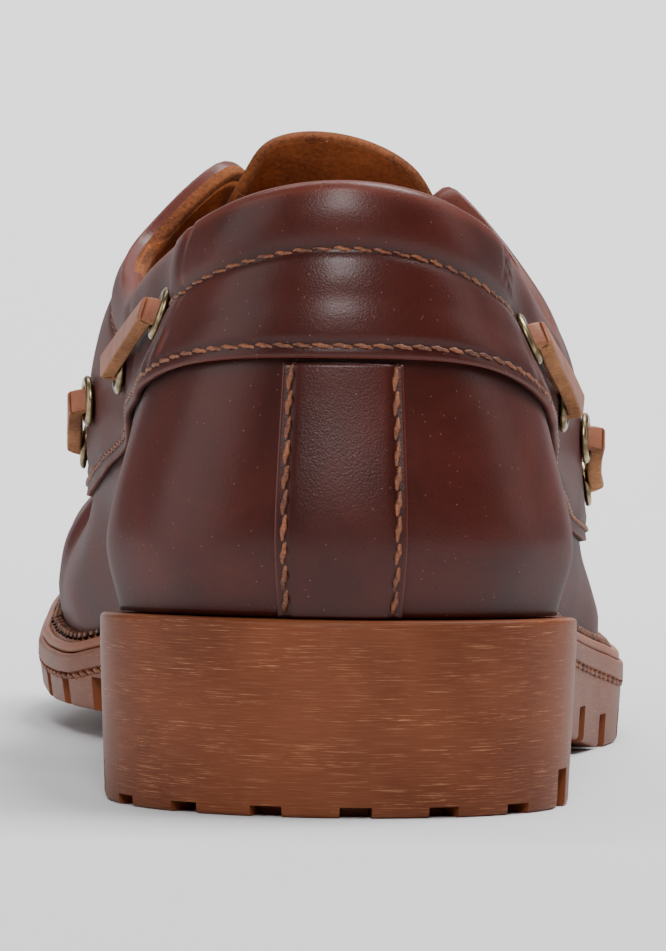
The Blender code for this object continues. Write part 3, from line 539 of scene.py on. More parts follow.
# The same columns straight back from the heel's centre and straight ahead from the toe's centre
BACK = (0.978, 0.177, 0.958, 0.465, 0.889, 0.738, 0.806, 1.000)
TIP = (0.945, 0.150, 0.885, 0.290, 0.620, 0.420, 0.000, 0.610)

# Lower edge of the collar band, as shares of the collar height
BAND_EDGE = (
    # along, lateral, medial
    (0.000, 0.590, 0.590),
    (0.120, 0.470, 0.506),
    (0.190, 0.415, 0.470),
    (0.267, 0.330, 0.415),
    (0.367, 0.275, 0.400),
    (0.460, 0.290, 0.410),
    (0.530, 0.330, 0.430),
    (0.590, 0.400, 0.460),
    (0.627, 0.470, 0.500),
)


@lru_cache(maxsize=None)
def wall_section(side, walk):
    """(distance, height) of the section's five points, from the sole's seat to the top."""
    foot, _, half = station(side, walk)
    along = foot.y / SOLE_LENGTH
    mix = min(max((along - HEEL_CENTRE) / (BALL_AT - HEEL_CENTRE), 0.0), 1.0)
    inset = SEAT_INSET + (WELT_WIDTH - SEAT_INSET) * mix
    rows = LATERAL if side == LATERAL_SIDE else MEDIAL
    ends = BACK if walk < 1 else TIP
    reach = HEEL_Y if walk < 1 else SOLE_LENGTH - TOE_Y
    end_share = 0.0 if 1 <= walk <= 2 else math.cos(math.radians(90 * min(walk, 3 - walk))) ** 2
    points = [Vector((fanned(walk, half - inset, reach - inset), 0.0))]
    for i in (0, 2, 4, 6):
        wide = max(column(rows, along, i + 1), 0.0) * half
        height = column(rows, along, i + 2)
        height += (ends[i + 1] - height) * end_share
        points.append(Vector((fanned(walk, wide, reach * ends[i]), height * COLLAR_HEIGHT)))
    return points


def on_section(points, level):
    """Smooth curve through the section's points, flat on top where both halves meet."""
    spans = len(points) - 1
    at = min(int(level * spans), spans - 1)
    t = level * spans - at

    def slope(i):
        if i == 0:
            return points[1] - points[0]
        if i == spans:
            closed = ease(0.25, 0.05, points[i].x / max(points[0].x, 0.001))
            return (points[i] - points[i - 1]).lerp(Vector((-points[i - 1].x, 0.0)), closed)
        return (points[i + 1] - points[i - 1]) / 2

    rise = t * t * (3 - 2 * t)
    return (points[at] * (1 - rise) + points[at + 1] * rise
            + slope(at) * (t * (1 - t) ** 2) - slope(at + 1) * (t * t * (1 - t)))


@lru_cache(maxsize=None)
def surface(side, walk, level):
    """The outer form of the upper, from the sole at level 0 to the opening or the ridge at level 1."""
    foot, direction, _ = station(side, walk)
    across = on_section(wall_section(side, walk), level)
    place = swing(foot + direction * across.x)
    place.z = sole_top(place.y) + CLEAR + across.y
    return place


def is_open(side, walk):
    return wall_section(side, walk)[-1].x > 0.0001


@lru_cache(maxsize=None)
def outward(side, walk, level, probe=0.004):
    """Direction straight out of the form."""
    if level > 0.999 and not is_open(side, walk):
        ahead = min(walk + probe, 2.0)
        ridge = surface(side, ahead, 1.0) - surface(side, ahead - probe, 1.0)
        return Vector((0.0, -ridge.z, ridge.y)).normalized()
    ahead, behind = min(walk + probe, 3.0), max(walk - probe, 0.0)
    above, below = min(level + probe, 1.0), max(level - probe, 0.0)
    along = surface(side, ahead, level) - surface(side, behind, level)
    up = surface(side, walk, above) - surface(side, walk, below)
    normal = (along.cross(up) * side).normalized()
    if walk < 1e-6 or walk > 3 - 1e-6:
        normal.x = 0.0
        normal.normalize()
    return normal


def form(side, walk, level, proud=0.0):
    return surface(side, walk, level) + outward(side, walk, level) * proud


@lru_cache(maxsize=None)
def level_of(side, walk, height):
    """Level at which the section reaches a height above the sole's top line."""
    low, high = 0.0, 1.0
    for _ in range(24):
        middle = (low + high) / 2
        short = on_section(wall_section(side, walk), middle).y < height
        low, high = (middle, high) if short else (low, middle)
    return (low + high) / 2


@lru_cache(maxsize=None)
def band_level(side, walk):
    height = column(BAND_EDGE, along_of(walk), 1 if side == LATERAL_SIDE else 2)
    return level_of(side, walk, height * COLLAR_HEIGHT)


def level_at(side, walk, rung):
    """Level of one of the rungs that upper and band share."""
    along = along_of(walk)
    edge = BAND_RUNG
    if along < BAND_END + BAND_FADE:
        edge += (band_level(side, walk) - BAND_RUNG) * ease(BAND_END + BAND_FADE, BAND_END, along)
    if rung < BAND_RUNG:
        return rung / BAND_RUNG * edge
    return edge + (rung - BAND_RUNG) / (1 - BAND_RUNG) * (1 - edge)


GIRTH_STEPS = 60


@lru_cache(maxsize=None)
def girths(side, walk):
    """Length of the section up to each of its equal levels."""
    return lengths_along([surface(side, walk, i / GIRTH_STEPS) for i in range(GIRTH_STEPS + 1)])


def girth_at(side, walk, level):
    lengths = girths(side, walk)
    at = min(int(level * GIRTH_STEPS), GIRTH_STEPS - 1)
    return lengths[at] + (lengths[at + 1] - lengths[at]) * (level * GIRTH_STEPS - at)


def level_at_girth(side, walk, girth):
    lengths = girths(side, walk)
    girth = min(max(girth, 0.0), lengths[-1])
    at = min(bisect_right(lengths, girth) - 1, GIRTH_STEPS - 1)
    return (at + (girth - lengths[at]) / max(lengths[at + 1] - lengths[at], 1e-6)) / GIRTH_STEPS


@lru_cache(maxsize=None)
def travels(side):
    """Distance round the upper's foot from the heel's back to each of the walks."""
    return lengths_along([surface(side, walk, 0.3) for walk in WALKS])


def walked(side, walk):
    lengths = travels(side)
    at = min(bisect_right(WALKS, walk) - 1, len(WALKS) - 2)
    return lengths[at] + (lengths[at + 1] - lengths[at]) * (walk - WALKS[at]) / (WALKS[at + 1] - WALKS[at])


def tuck(walk, rung):
    """How far the upper lies under the form where the collar band covers it."""
    ahead = ease(BAND_END + BAND_FADE / 2, BAND_END + BAND_STEP, along_of(walk))
    return BAND_STAND * ease(TUCK_START, TUCK_RUNG, rung) * ahead


def soft_noise(place, size, seed=0.0):
    """Smooth hills of about a size, from -1 to 1."""
    return noise.noise(place / size + Vector((seed, seed * 0.7, seed * 1.3)))


def bell(distance, width):
    return math.exp(-(distance / width) ** 2)


# Creases of the vamp where the toes bend, each a soft trough from the ridge down to both sides
CREASES_FROM = 0.60
CREASE_REACH = 0.045
VAMP_CREASES = (
    # along at the ridge, sweep back per metre of girth, depth, width
    (0.668, 0.45, 0.00045, 0.0040),
    (0.700, 0.60, 0.00035, 0.0045),
    (0.738, 0.75, 0.00025, 0.0050),
)


@lru_cache(maxsize=None)
def seam_girth(side, walk):
    return girth_at(side, walk, level_at(side, walk, SEAM_RUNG))


def upper_relief(side, walk, rung):
    """Height of the leather over the form: apron seam, gathers, creases and a lasted unevenness."""
    level = level_at(side, walk, rung)
    place = surface(side, walk, level)
    along = place.y / SOLE_LENGTH
    relief = 0.00020 * soft_noise(place, 0.017) + 0.00003 * soft_noise(place, 0.006, 4.0)
    seam = ease(BAND_END - 0.01, BAND_END + 0.02, along_of(walk))
    if seam > 0:
        past = girth_at(side, walk, level) - seam_girth(side, walk)
        waves = 0.5 + 0.5 * math.cos(2 * math.pi * walked(side, walk) / PLEAT_PITCH)
        relief += seam * SEAM_HEIGHT * bell(past, SEAM_WIDTH) * (0.82 + 0.18 * waves)
        if past < 0:
            gather = (waves - 0.6) * math.exp(past / PLEAT_REACH) * ease(0.0, -0.0012, past)
            relief += seam * PLEAT_DEPTH * gather
        else:
            relief -= seam * 0.0003 * bell(past - 0.0024, 0.0011)
    if not is_open(side, walk) or along > CREASES_FROM:
        below = girth_at(side, walk, 1.0) - girth_at(side, walk, level)
        for start, sweep, depth, width in VAMP_CREASES:
            crease = bell((along - start + sweep * below) * SOLE_LENGTH, width)
            relief -= depth * crease * ease(CREASE_REACH, 0.0, below)
    return relief


def seam_shade(side, walk, rung):
    """Painted shade (negative) at the upper's foot by the sole, in the troughs beside the apron seam and
    under the band's edge; lighter (positive) on the seam's crest, where the leather is pulled and worn.
    """
    along = along_of(walk)
    level = level_at(side, walk, rung)
    girth = girth_at(side, walk, level)
    # Painted shade along the foot, where the upper meets the sole.
    shade = -0.55 * bell(girth, 0.004)
    if along > BAND_END - 0.01:
        past = girth - seam_girth(side, walk)
        shade += 0.5 * bell(past, 0.0009)
        # Painted shade in the troughs on both sides of the seam.
        shade -= 0.6 * bell(past + 0.0022, 0.0011) + 0.5 * bell(past - 0.0022, 0.0010)
    elif rung > TUCK_START:
        # Painted shade where the upper goes under the band's lower edge.
        shade -= 0.7 * ease(BAND_RUNG - 0.03, BAND_RUNG, rung)
    return shade


def grain_group():
    """Leather grain: pebbles, pores, specks of dust and long clouds. It puts out a height and three masks."""
    group = bpy.data.node_groups.new("leather_grain", "ShaderNodeTree")
    group.interface.new_socket("Vector", in_out="INPUT", socket_type="NodeSocketVector")
    for name in ("Pebbles", "Clouds"):
        group.interface.new_socket(name, in_out="INPUT", socket_type="NodeSocketFloat")
    for name in ("Height", "Pores", "Specks", "Tone"):
        group.interface.new_socket(name, in_out="OUTPUT", socket_type="NodeSocketFloat")
    given = group.nodes.new("NodeGroupInput").outputs
    put = group.nodes.new("NodeGroupOutput").inputs
    cells = {}
    for name, scale, kind in (("pebbles", given["Pebbles"], "SMOOTH_F1"), ("pores", 620.0, "F1"),
                              ("dust", 600.0, "F1")):
        cells[name] = add_node(group, "ShaderNodeTexVoronoi", {"Vector": given["Vector"], "Scale": scale},
                               feature=kind).outputs["Distance"]
    fine = cloudy(group, given["Vector"], given["Pebbles"], Detail=4.0, Roughness=0.6)
    clouds = cloudy(group, given["Vector"], given["Clouds"], Detail=6.0, Roughness=0.55, Distortion=0.6)
    for name, value in (("Height", worked(group, "SUBTRACT", fine, cells["pebbles"])),
                        ("Pores", ranged(group, cells["pores"], 0.08, 0.16, 1.0, 0.0)),
                        ("Specks", ranged(group, cells["dust"], 0.05, 0.09, 1.0, 0.0)),
                        ("Tone", ranged(group, clouds, 0.32, 0.68, 0.0, 1.0))):
        feed(group, put[name], value)
    return group


LEATHER_GRAIN = grain_group()


def grained(tree, place, pebbles, clouds):
    """Outputs of the leather grain on a piece."""
    inputs = {"Vector": place["Object"], "Pebbles": pebbles, "Clouds": clouds}
    return add_node(tree, "ShaderNodeGroup", inputs, node_tree=LEATHER_GRAIN).outputs


def leather_finish(name, dark, warm, rubbed_and_highlight):
    """Waxed pull-up leather in a cloudy tone from dark to warm, with painted shade where the shade attribute
    is negative and a lighter, redder colour where it is positive, partly worn leather and partly painted
    highlight.
    """
    material, tree, shader, place = surface_finish(name)
    grain = grained(tree, place, 3000.0, 34.0)
    shade = add_node(tree, "ShaderNodeAttribute", {}, attribute_name="shade",
                     attribute_type="GEOMETRY").outputs["Fac"]
    colour = mixed(tree, grain["Tone"], dark, warm)
    # Lighter and redder where shade is positive: partly worn leather, partly painted highlight. Painted shade
    # towards near black where it is negative.
    colour = mixed(tree, ranged(tree, shade, 0.0, 1.0, 0.0, 1.0), colour, rubbed_and_highlight)
    colour = mixed(tree, ranged(tree, shade, -1.0, 0.0, 0.85, 0.0), colour, (0.016, 0.005, 0.004))
    colour = mixed(tree, worked(tree, "MULTIPLY", grain["Pores"], 0.6), colour, (0.02, 0.006, 0.005))
    colour = mixed(tree, worked(tree, "MULTIPLY", grain["Specks"], 0.4), colour, (0.30, 0.14, 0.10))
    slanted = add_node(tree, "ShaderNodeLayerWeight", {"Blend": 0.5}).outputs["Facing"]
    rough = worked(tree, "ADD", ranged(tree, grain["Tone"], 0.0, 1.0, 0.33, 0.41),
                   ranged(tree, slanted, 0.30, 0.80, 0.0, 0.42))
    dressed(tree, shader, colour, rough, 0.25, grain["Height"], 0.30, 0.00009)
    shader.inputs["Coat Weight"].default_value = 0.10
    shader.inputs["Coat Roughness"].default_value = 0.22
    return material


def suede_finish(name, dark, pale, scale):
    """Suede or a cut leather edge: matt, fibrous, with a pale nap."""
    material, tree, shader, place = surface_finish(name)
    nap = cloudy(tree, place["Object"], scale, Detail=6.0, Roughness=0.7, Distortion=0.5)
    both = worked(tree, "ADD", nap, cloudy(tree, place["Object"], 70.0, Detail=3.0))
    colour = mixed(tree, ranged(tree, both, 0.8, 1.25, 0.0, 1.0), dark, pale)
    dressed(tree, shader, colour, 0.92, 0.15, nap, 0.6, 0.0003)
    shader.inputs["Sheen Weight"].default_value = 0.15
    shader.inputs["Sheen Roughness"].default_value = 0.5
    shader.inputs["Sheen Tint"].default_value = (0.95, 0.60, 0.36, 1.0)
    return material


# Dark and warm tones, then the lighter colour used for worn leather and painted highlight.
LEATHER = leather_finish("pull_up_leather", (0.035, 0.0056, 0.0038), (0.073, 0.0112, 0.0070),
                         (0.22, 0.052, 0.030))
SUEDE = suede_finish("suede_lining", (0.17, 0.042, 0.011), (0.45, 0.135, 0.038), 900.0)
CUT_EDGE = suede_finish("cut_edge", (0.075, 0.018, 0.006), (0.26, 0.080, 0.026), 1300.0)


def give_wall(piece, thickness, lining, rim):
    """A wall inwards from the outer face, with the places of its lining and its edge in the materials."""
    wall = piece.modifiers.new("wall", "SOLIDIFY")
    wall.thickness = thickness
    wall.offset = -1.0
    wall.material_offset = lining
    wall.material_offset_rim = rim


ROLL = 0.0019


def roll_share(walk):
    """How much the collar's rolled edge covers the upper's own edge there."""
    return ease(BAND_END + 0.002, BAND_END - 0.002, along_of(walk))


@lru_cache(maxsize=None)
def upper_top(side, walk):
    """Highest level of the upper: short of the form's edge where the collar rolls over it."""
    if not is_open(side, walk):
        return 1.0
    return level_at_girth(side, walk, girth_at(side, walk, 1.0) - ROLL * 1.1 * roll_share(walk))


def upper_place(station_at, rung):
    side, walk = station_at
    level = min(level_at(side, walk, rung), upper_top(side, walk))
    return form(side, walk, level, upper_relief(side, walk, rung) - tuck(walk, rung))


# Rungs up the upper, close together under the band's edge and at the apron's ridge
UPPER_RUNGS = ([0.013 * i for i in range(28)] + [0.37 + 0.01 * i for i in range(9)]
               + [0.47, 0.50, 0.53, 0.555, 0.575] + [0.59 + 0.005 * i for i in range(17)]
               + [0.69, 0.71, 0.74, 0.77, 0.80, 0.83, 0.86, 0.89, 0.92, 0.95, 0.975, 1.0])

bm = bmesh.new()
laid_grid(bm, round_trip(WALKS), UPPER_RUNGS, upper_place, lambda at, rung: seam_shade(*at, rung))
upper = made_object("vamp_and_counter", bm, LEATHER, SUEDE, CUT_EDGE)
give_wall(upper, UPPER_WALL, 1, 2)
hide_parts("upper")


# Insole: a cork board covered in suede, laid on the sole inside the upper's wall.

INSOLE_THICKNESS = 0.0035
INSOLE_CUP = 0.0020
INSOLE_EDGE = 0.0006


def insole_place(high):
    def place(walk, share):
        ends = []
        for side in (MEDIAL_SIDE, LATERAL_SIDE):
            foot, direction, _ = station(side, walk)
            ends.append(swing(foot + direction * (wall_section(side, walk)[0].x - UPPER_WALL - 2 * CLEAR)))
        point = ends[0].lerp(ends[1], (share + 1) / 2)
        edge = INSOLE_EDGE if abs(share) == 1 else 0.0
        point.z = sole_top(point.y) + CLEAR + high * (INSOLE_THICKNESS + INSOLE_CUP * abs(share) ** 4 - edge)
        return point
    return place


bm = bmesh.new()
laid_grid(bm, WALKS, shares, insole_place(0.0))
laid_grid(bm, WALKS, shares, insole_place(1.0))
bmesh.ops.bridge_loops(bm, edges=[edge for edge in bm.edges if edge.is_boundary])
insole = made_object("insole_cover", bm, SUEDE)
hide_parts("insole")


# Back strip: a stay of the same leather up the counter's back, sewn down along both its edges.

STRIP_WALL = 0.0011
STRIP_HALF = 0.0101
STRIP_ROW_IN = 0.0013
STRIP_START, STRIP_TOP = 0.004, 0.442


def strip_lie(rung):
    return STRIP_WALL + CLEAR - tuck(0.0, rung)


def strip_walk(aside):
    return abs(aside) / HEEL_Y / math.radians(90)


def strip_height(aside, rung):
    """Height of the strip over the form, pulled down by its two seams."""
    return strip_lie(rung) - 0.0004 * bell(STRIP_HALF - STRIP_ROW_IN - abs(aside), 0.0009)


def strip_place(aside, rung):
    side = LATERAL_SIDE if aside >= 0 else MEDIAL_SIDE
    walk = strip_walk(aside)
    level = level_at(side, walk, rung)
    relief = 0.00007 * soft_noise(surface(side, walk, level), 0.014, 2.0)
    return form(side, walk, level, strip_height(aside, rung) + relief)


def strip_shade(aside, rung):
    above = girth_at(LATERAL_SIDE, 0.0, level_at(LATERAL_SIDE, 0.0, rung))
    # Painted shade along both rows of stitches and at the foot by the sole; lighter along the strip's two
    # edges.
    dark = 0.6 * bell(STRIP_HALF - STRIP_ROW_IN - abs(aside), 0.0010) + 0.5 * bell(above, 0.003)
    return 0.5 * bell(STRIP_HALF - abs(aside), 0.0003) - dark


strip_asides = [STRIP_HALF * i / 20 for i in range(-20, 21)]
strip_rungs = [STRIP_START + (STRIP_TOP - STRIP_START) * i / 80 for i in range(81)]
bm = bmesh.new()
laid_grid(bm, strip_asides, strip_rungs, strip_place, strip_shade)
strip = made_object("back_stay", bm, LEATHER, CUT_EDGE, CUT_EDGE)
give_wall(strip, STRIP_WALL, 1, 0)
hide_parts("back_strip")


# Stitching: waxed copper-brown thread of two plies, sewn by a long-arm machine at eight stitches to the
# inch. Each stitch is a short length of twisted thread that dips into its hole at both ends.

THREAD = 0.00070
STITCH_PITCH = 0.0031
STITCH_SHARE = 1.12
THREAD_RINGS, THREAD_SIDES = 10, 8


def thread_finish(name, dark, pale):
    """Waxed thread: fibres and patches of tone, with painted shade at both ends where it enters its holes."""
    material, tree, shader, place = surface_finish(name)
    fibre = cloudy(tree, place["Object"], 2600.0, Detail=3.0)
    both = worked(tree, "ADD", fibre, cloudy(tree, place["Object"], 260.0, Detail=2.0))
    along = add_node(tree, "ShaderNodeSeparateXYZ", {"Vector": place["UV"]}).outputs["X"]
    off_middle = worked(tree, "ABSOLUTE", worked(tree, "SUBTRACT", along, 0.5))
    colour = mixed(tree, ranged(tree, both, 0.75, 1.25, 0.0, 1.0), dark, pale)
    # Painted shade at both ends of each stitch, where it goes into its hole.
    colour = mixed(tree, ranged(tree, off_middle, 0.40, 0.5, 0.0, 0.8), colour, (0.02, 0.006, 0.004))
    dressed(tree, shader, colour, 0.48, 0.5, fibre, 0.5, 0.0002)
    return material


COPPER_THREAD = thread_finish("copper_thread", (0.060, 0.015, 0.006), (0.27, 0.085, 0.031))
DARK_THREAD = thread_finish("dark_thread", (0.055, 0.018, 0.010), (0.22, 0.085, 0.040))


def stepped(route, pitch):
    """Places with normals at equal steps along a route of (place, normal)."""
    lengths = lengths_along([place for place, _ in route])
    count = max(int(lengths[-1] / pitch), 1)
    steps, at = [], 0
    for i in range(count + 1):
        want = lengths[-1] * i / count
        while at < len(route) - 2 and lengths[at + 1] < want:
            at += 1
        share = (want - lengths[at]) / max(lengths[at + 1] - lengths[at], 1e-9)
        steps.append((route[at][0].lerp(route[at + 1][0], share),
                      route[at][1].lerp(route[at + 1][1], share).normalized()))
    return steps


def add_stitch(bm, start, end, normal, thick, bulge=0.50, slant=0.0):
    """One stitch from hole to hole: a two-ply thread that dips at its ends."""
    ahead = end - start
    across = ahead.cross(normal).normalized()
    up = across.cross(ahead).normalized()
    rings, around = THREAD_RINGS, THREAD_SIDES
    uv = bm.loops.layers.uv.verify()
    made = bmesh.ops.create_grid(bm, x_segments=rings - 1, y_segments=around, size=0.5)["verts"]
    for vert in made:
        share = vert.co.x + 0.5
        turn = 2 * math.pi * (vert.co.y + 0.5)
        full = math.sin(math.pi * min(max(share, 0.03), 0.97)) ** 0.28
        radius = thick / 2 * full * (1 + 0.26 * math.cos(2 * (turn - 2.2 * math.pi * share)))
        lean = slant * thick * (share - 0.5)
        high = thick * (bulge * math.sin(math.pi * share) - 0.28)
        centre = start + ahead * share + up * high + across * lean
        vert.co = centre + across * (radius * math.cos(turn)) + up * (radius * math.sin(turn))
    for face in {face for vert in made for face in vert.link_faces}:
        face.smooth = True
        for loop in face.loops:
            loop[uv].uv = ((loop.vert.co - start).dot(ahead) / ahead.length_squared, 0.0)


def sew(bm, route, pitch=STITCH_PITCH, thick=THREAD, share=STITCH_SHARE, slant=0.8):
    """A row of stitches along a route."""
    steps = stepped(route, pitch)
    for i, ((a, up_a), (b, up_b)) in enumerate(zip(steps, steps[1:])):
        middle, half = a.lerp(b, 0.5), (b - a) * share / 2
        uneven = 1 + 0.06 * math.sin(i * 2.4) + 0.04 * math.sin(i * 5.1)
        add_stitch(bm, middle - half * uneven, middle + half * uneven, (up_a + up_b).normalized(),
                   thick * (1 + 0.05 * math.sin(i * 1.7)), slant=slant)


def made_stitching(name, bm, thread):
    """All stitches of a piece as one joined mesh; each stays a closed thread."""
    bmesh.ops.remove_doubles(bm, verts=bm.verts, dist=5e-6)
    return made_object(name, bm, thread)


def seam_place(side, walk, level, proud=0.0):
    """Place for a stitch over the form, and the way out from there."""
    return form(side, walk, level, proud), outward(side, walk, level)


bm = bmesh.new()
for aside in (STRIP_HALF - STRIP_ROW_IN, STRIP_ROW_IN - STRIP_HALF):
    side = LATERAL_SIDE if aside > 0 else MEDIAL_SIDE
    walk = strip_walk(aside)
    route = []
    for i in range(60):
        rung = 0.012 + 0.428 * i / 59
        level = level_at(side, walk, rung)
        route.append(seam_place(side, walk, level, strip_height(aside, rung)))
    sew(bm, route, pitch=0.0038, thick=0.00092, share=1.12)
strip_rows = made_stitching("back_stay_stitching", bm, COPPER_THREAD)


# Collar band: one long strip of the leather sewn round the quarters from throat to throat. Its top is
# turned over a thin foam roll, and the lace runs in the tunnel between its two rows of stitches.

PUFF = 0.0010
FACING_STARTS = (0.34, 0.46)
ROW_DROP = (
    # along, distance of the upper row below the collar's edge
    (0.000, 0.0109),
    (0.120, 0.0106),
    (0.260, 0.0098),
    (0.360, 0.0090),
    (0.420, 0.0075),
    (0.600, 0.0060),
)
ROW_RISE = 0.0019
ROW_TROUGH = 0.00045
ROW_WIDTH = 0.0010
FRONT_ROW_IN = 0.0022
LOW_EDGE_ROUND = (0.0005, 0.00022, 0.00006)
BELLY = 0.00045


@lru_cache(maxsize=None)
def band_low(side, walk):
    return girth_at(side, walk, band_level(side, walk))


def band_top(side, walk):
    return girths(side, walk)[-1]


def upper_row_girth(side, walk):
    return band_top(side, walk) - column(ROW_DROP, along_of(walk), 1)


# Wrinkles of the band: each runs up and down the wall at a place on the walk, between two shares of the
# band's height, pulled in towards the eyelets where the lace gathers the leather
WRINKLES = (
    # side, walk at the bottom, walk at the top, low share, high share, depth, width
    (1, 0.700, 0.800, 0.66, 1.02, 0.00040, 0.0010),
    (1, 0.755, 0.850, 0.62, 0.98, 0.00050, 0.0011),
    (1, 0.810, 0.900, 0.60, 0.95, 0.00045, 0.0010),
    (1, 0.870, 0.960, 0.62, 0.92, 0.00035, 0.0010),
    (1, 0.790, 0.800, 0.02, 0.36, 0.00050, 0.0009),
    (1, 0.835, 0.820, 0.04, 0.38, 0.00060, 0.0009),
    (1, 0.885, 0.845, 0.06, 0.40, 0.00050, 0.0010),
    (1, 0.940, 0.870, 0.10, 0.42, 0.00035, 0.0011),
    (-1, 0.830, 0.820, 0.05, 0.34, 0.00035, 0.0012),
    (-1, 0.700, 0.690, 0.70, 1.00, 0.00025, 0.0014),
    (-1, 0.960, 0.990, 0.60, 0.95, 0.00035, 0.0016),
    (1, 1.120, 1.180, 0.10, 0.90, 0.00035, 0.0022),
    (-1, 1.150, 1.200, 0.10, 0.90, 0.00035, 0.0022),
)
WRINKLE_FADE = 0.05
JOIN_WALK = (0.66, 0.74)
JOIN_ZONE = (0.50, 0.95)
JOIN_DEPTH = 0.0004
JOIN_WIDTH = 0.00045


def band_share(side, walk, girth):
    low = band_low(side, walk)
    return (girth - low) / max(band_top(side, walk) - low, 1e-6)


def at_join(side, walk, share):
    """Nearness to the band's closing seam, on the medial side behind the first eyelet."""
    if side == LATERAL_SIDE or not JOIN_ZONE[0] < walk < JOIN_ZONE[1]:
        return 0.0
    join = JOIN_WALK[0] + (JOIN_WALK[1] - JOIN_WALK[0]) * (1 - share)
    return bell(walked(side, walk) - walked(side, join), JOIN_WIDTH)


def band_relief(side, walk, girth):
    """Height of the band over the form."""
    along = along_of(walk)
    share = band_share(side, walk, girth)
    place = surface(side, walk, level_at_girth(side, walk, girth))
    low, row = band_low(side, walk), upper_row_girth(side, walk)
    relief = 0.00018 * soft_noise(place, 0.014, 7.0) + 0.00003 * soft_noise(place, 0.005, 9.0)
    if girth > row:
        padded = ease(FACING_STARTS[1], FACING_STARTS[0], along)
        share_above = min((girth - row) / (band_top(side, walk) - row), 1.0)
        relief += PUFF * padded * math.sin(math.pi * share_above) ** 0.8
    elif girth < row:
        middle = (girth - low) / max(row - low, 1e-6)
        belly = BELLY * math.sin(math.pi * min(max(middle, 0.0), 1.0))
        relief += ease(1.3, 0.7, walk) * (belly - 0.00016 * bell(middle - 0.55, 0.13))
    relief -= ROW_TROUGH * (bell(girth - row, ROW_WIDTH) + bell(girth - low - ROW_RISE, ROW_WIDTH))
    for which, bottom, top, start, end, depth, width in WRINKLES:
        if which == side and start - WRINKLE_FADE < share < end + WRINKLE_FADE and abs(walk - bottom) < 0.25:
            at = bottom + (top - bottom) * (share - start) / (end - start)
            fade = ease(start - WRINKLE_FADE, start + 0.08, share)
            fade *= ease(end + WRINKLE_FADE, end - 0.08, share)
            relief -= depth * fade * bell(walked(side, walk) - walked(side, at), width)
    return relief - JOIN_DEPTH * at_join(side, walk, share)


def band_shade(side, walk, girth):
    """Painted shade along the two rows of stitches; lighter along both edges, partly worn leather and partly
    painted highlight, and lighter at the closing seam.
    """
    above, low = girth - upper_row_girth(side, walk), girth - band_low(side, walk)
    # Painted shade in the troughs of the two rows.
    shade = -0.75 * bell(above, ROW_WIDTH * 0.9) - 0.75 * bell(low - ROW_RISE, ROW_WIDTH * 0.9)
    shade += 0.6 * at_join(side, walk, band_share(side, walk, girth))
    # Lighter along the lower edge and the rolled top: partly wear, partly painted highlight.
    return shade + 0.35 * bell(low, 0.0004) + 0.45 * bell(band_top(side, walk) - girth - 0.001, 0.0012)


BAND_WALKS = [walk for walk in WALKS if walk < walk_at(BAND_END) - 0.004] + [walk_at(BAND_END)]
BAND_TRIP = round_trip(BAND_WALKS)
BAND_ROWS = 48
ROLL_TURNS = 8
LIP_ROWS = (0.0012, 0.0030, 0.0052)
ROLL_SPARE = 0.0002
FACING_START = 0.305
FACING_TAPER = 0.035
CUT_SHARE = {LATERAL_SIDE: 0.15, MEDIAL_SIDE: 0.5}
WHOLE_WALL = BAND_STAND + UPPER_WALL


def band_place(station_at, row):
    """Rows up the band's face, then round the roll at its top, then down inside as far as the lip."""
    side, walk = station_at
    top = band_top(side, walk) - ROLL
    low = band_low(side, walk)
    if row <= BAND_ROWS:
        girth = low + (top - low) * row / BAND_ROWS
        proud = band_relief(side, walk, girth)
        if row < len(LOW_EDGE_ROUND):
            proud -= LOW_EDGE_ROUND[row]
        return form(side, walk, level_at_girth(side, walk, girth), proud)
    level = level_at_girth(side, walk, top)
    base = form(side, walk, level, band_relief(side, walk, top))
    out = outward(side, walk, level)
    rise = (surface(side, walk, 1.0) - surface(side, walk, level)).normalized()
    half = (WHOLE_WALL + ROLL_SPARE) / 2
    turn = math.pi * min(row - BAND_ROWS, ROLL_TURNS) / ROLL_TURNS
    square = 1.0 - 0.6 * ease(FACING_START - 0.01, FACING_START + 0.02, along_of(walk))
    cosine, sine = math.cos(turn), math.sin(turn)
    place = (base + out * (half * math.copysign(abs(cosine) ** square, cosine) - half)
             + rise * (ROLL * abs(sine) ** square))
    if row > BAND_ROWS + ROLL_TURNS:
        place -= rise * LIP_ROWS[row - BAND_ROWS - ROLL_TURNS - 1]
    return place


def band_mark(station_at, row):
    # The roll over the top is lightened a little: partly wear, partly painted highlight.
    if row > BAND_ROWS:
        return 0.25
    side, walk = station_at
    top, low = band_top(side, walk) - ROLL, band_low(side, walk)
    return band_shade(side, walk, low + (top - low) * row / BAND_ROWS)


bm = bmesh.new()
band_rows = list(range(BAND_ROWS + ROLL_TURNS + len(LIP_ROWS) + 1))
cells = laid_grid(bm, BAND_TRIP, band_rows, band_place, band_mark)
for (i, j), vert in cells.items():
    side, walk = BAND_TRIP[i]
    cut = ease(FACING_START, FACING_START + FACING_TAPER, along_of(walk)) * CUT_SHARE[side]
    kind = 2 if cut > 0 and j > BAND_ROWS + ROLL_TURNS * (1 - cut) else int(j > BAND_ROWS + ROLL_TURNS)
    if kind:
        for face in vert.link_faces:
            face.material_index = kind
band = made_object("collar_and_saddle", bm, LEATHER, SUEDE, CUT_EDGE)
give_wall(band, BAND_WALL * 0.9, 0, 0)
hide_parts("collar_band")


def band_stitch(side, walk, girth):
    return seam_place(side, walk, level_at_girth(side, walk, girth), band_relief(side, walk, girth))


def low_row_girth(side, walk):
    return band_low(side, walk) + ROW_RISE


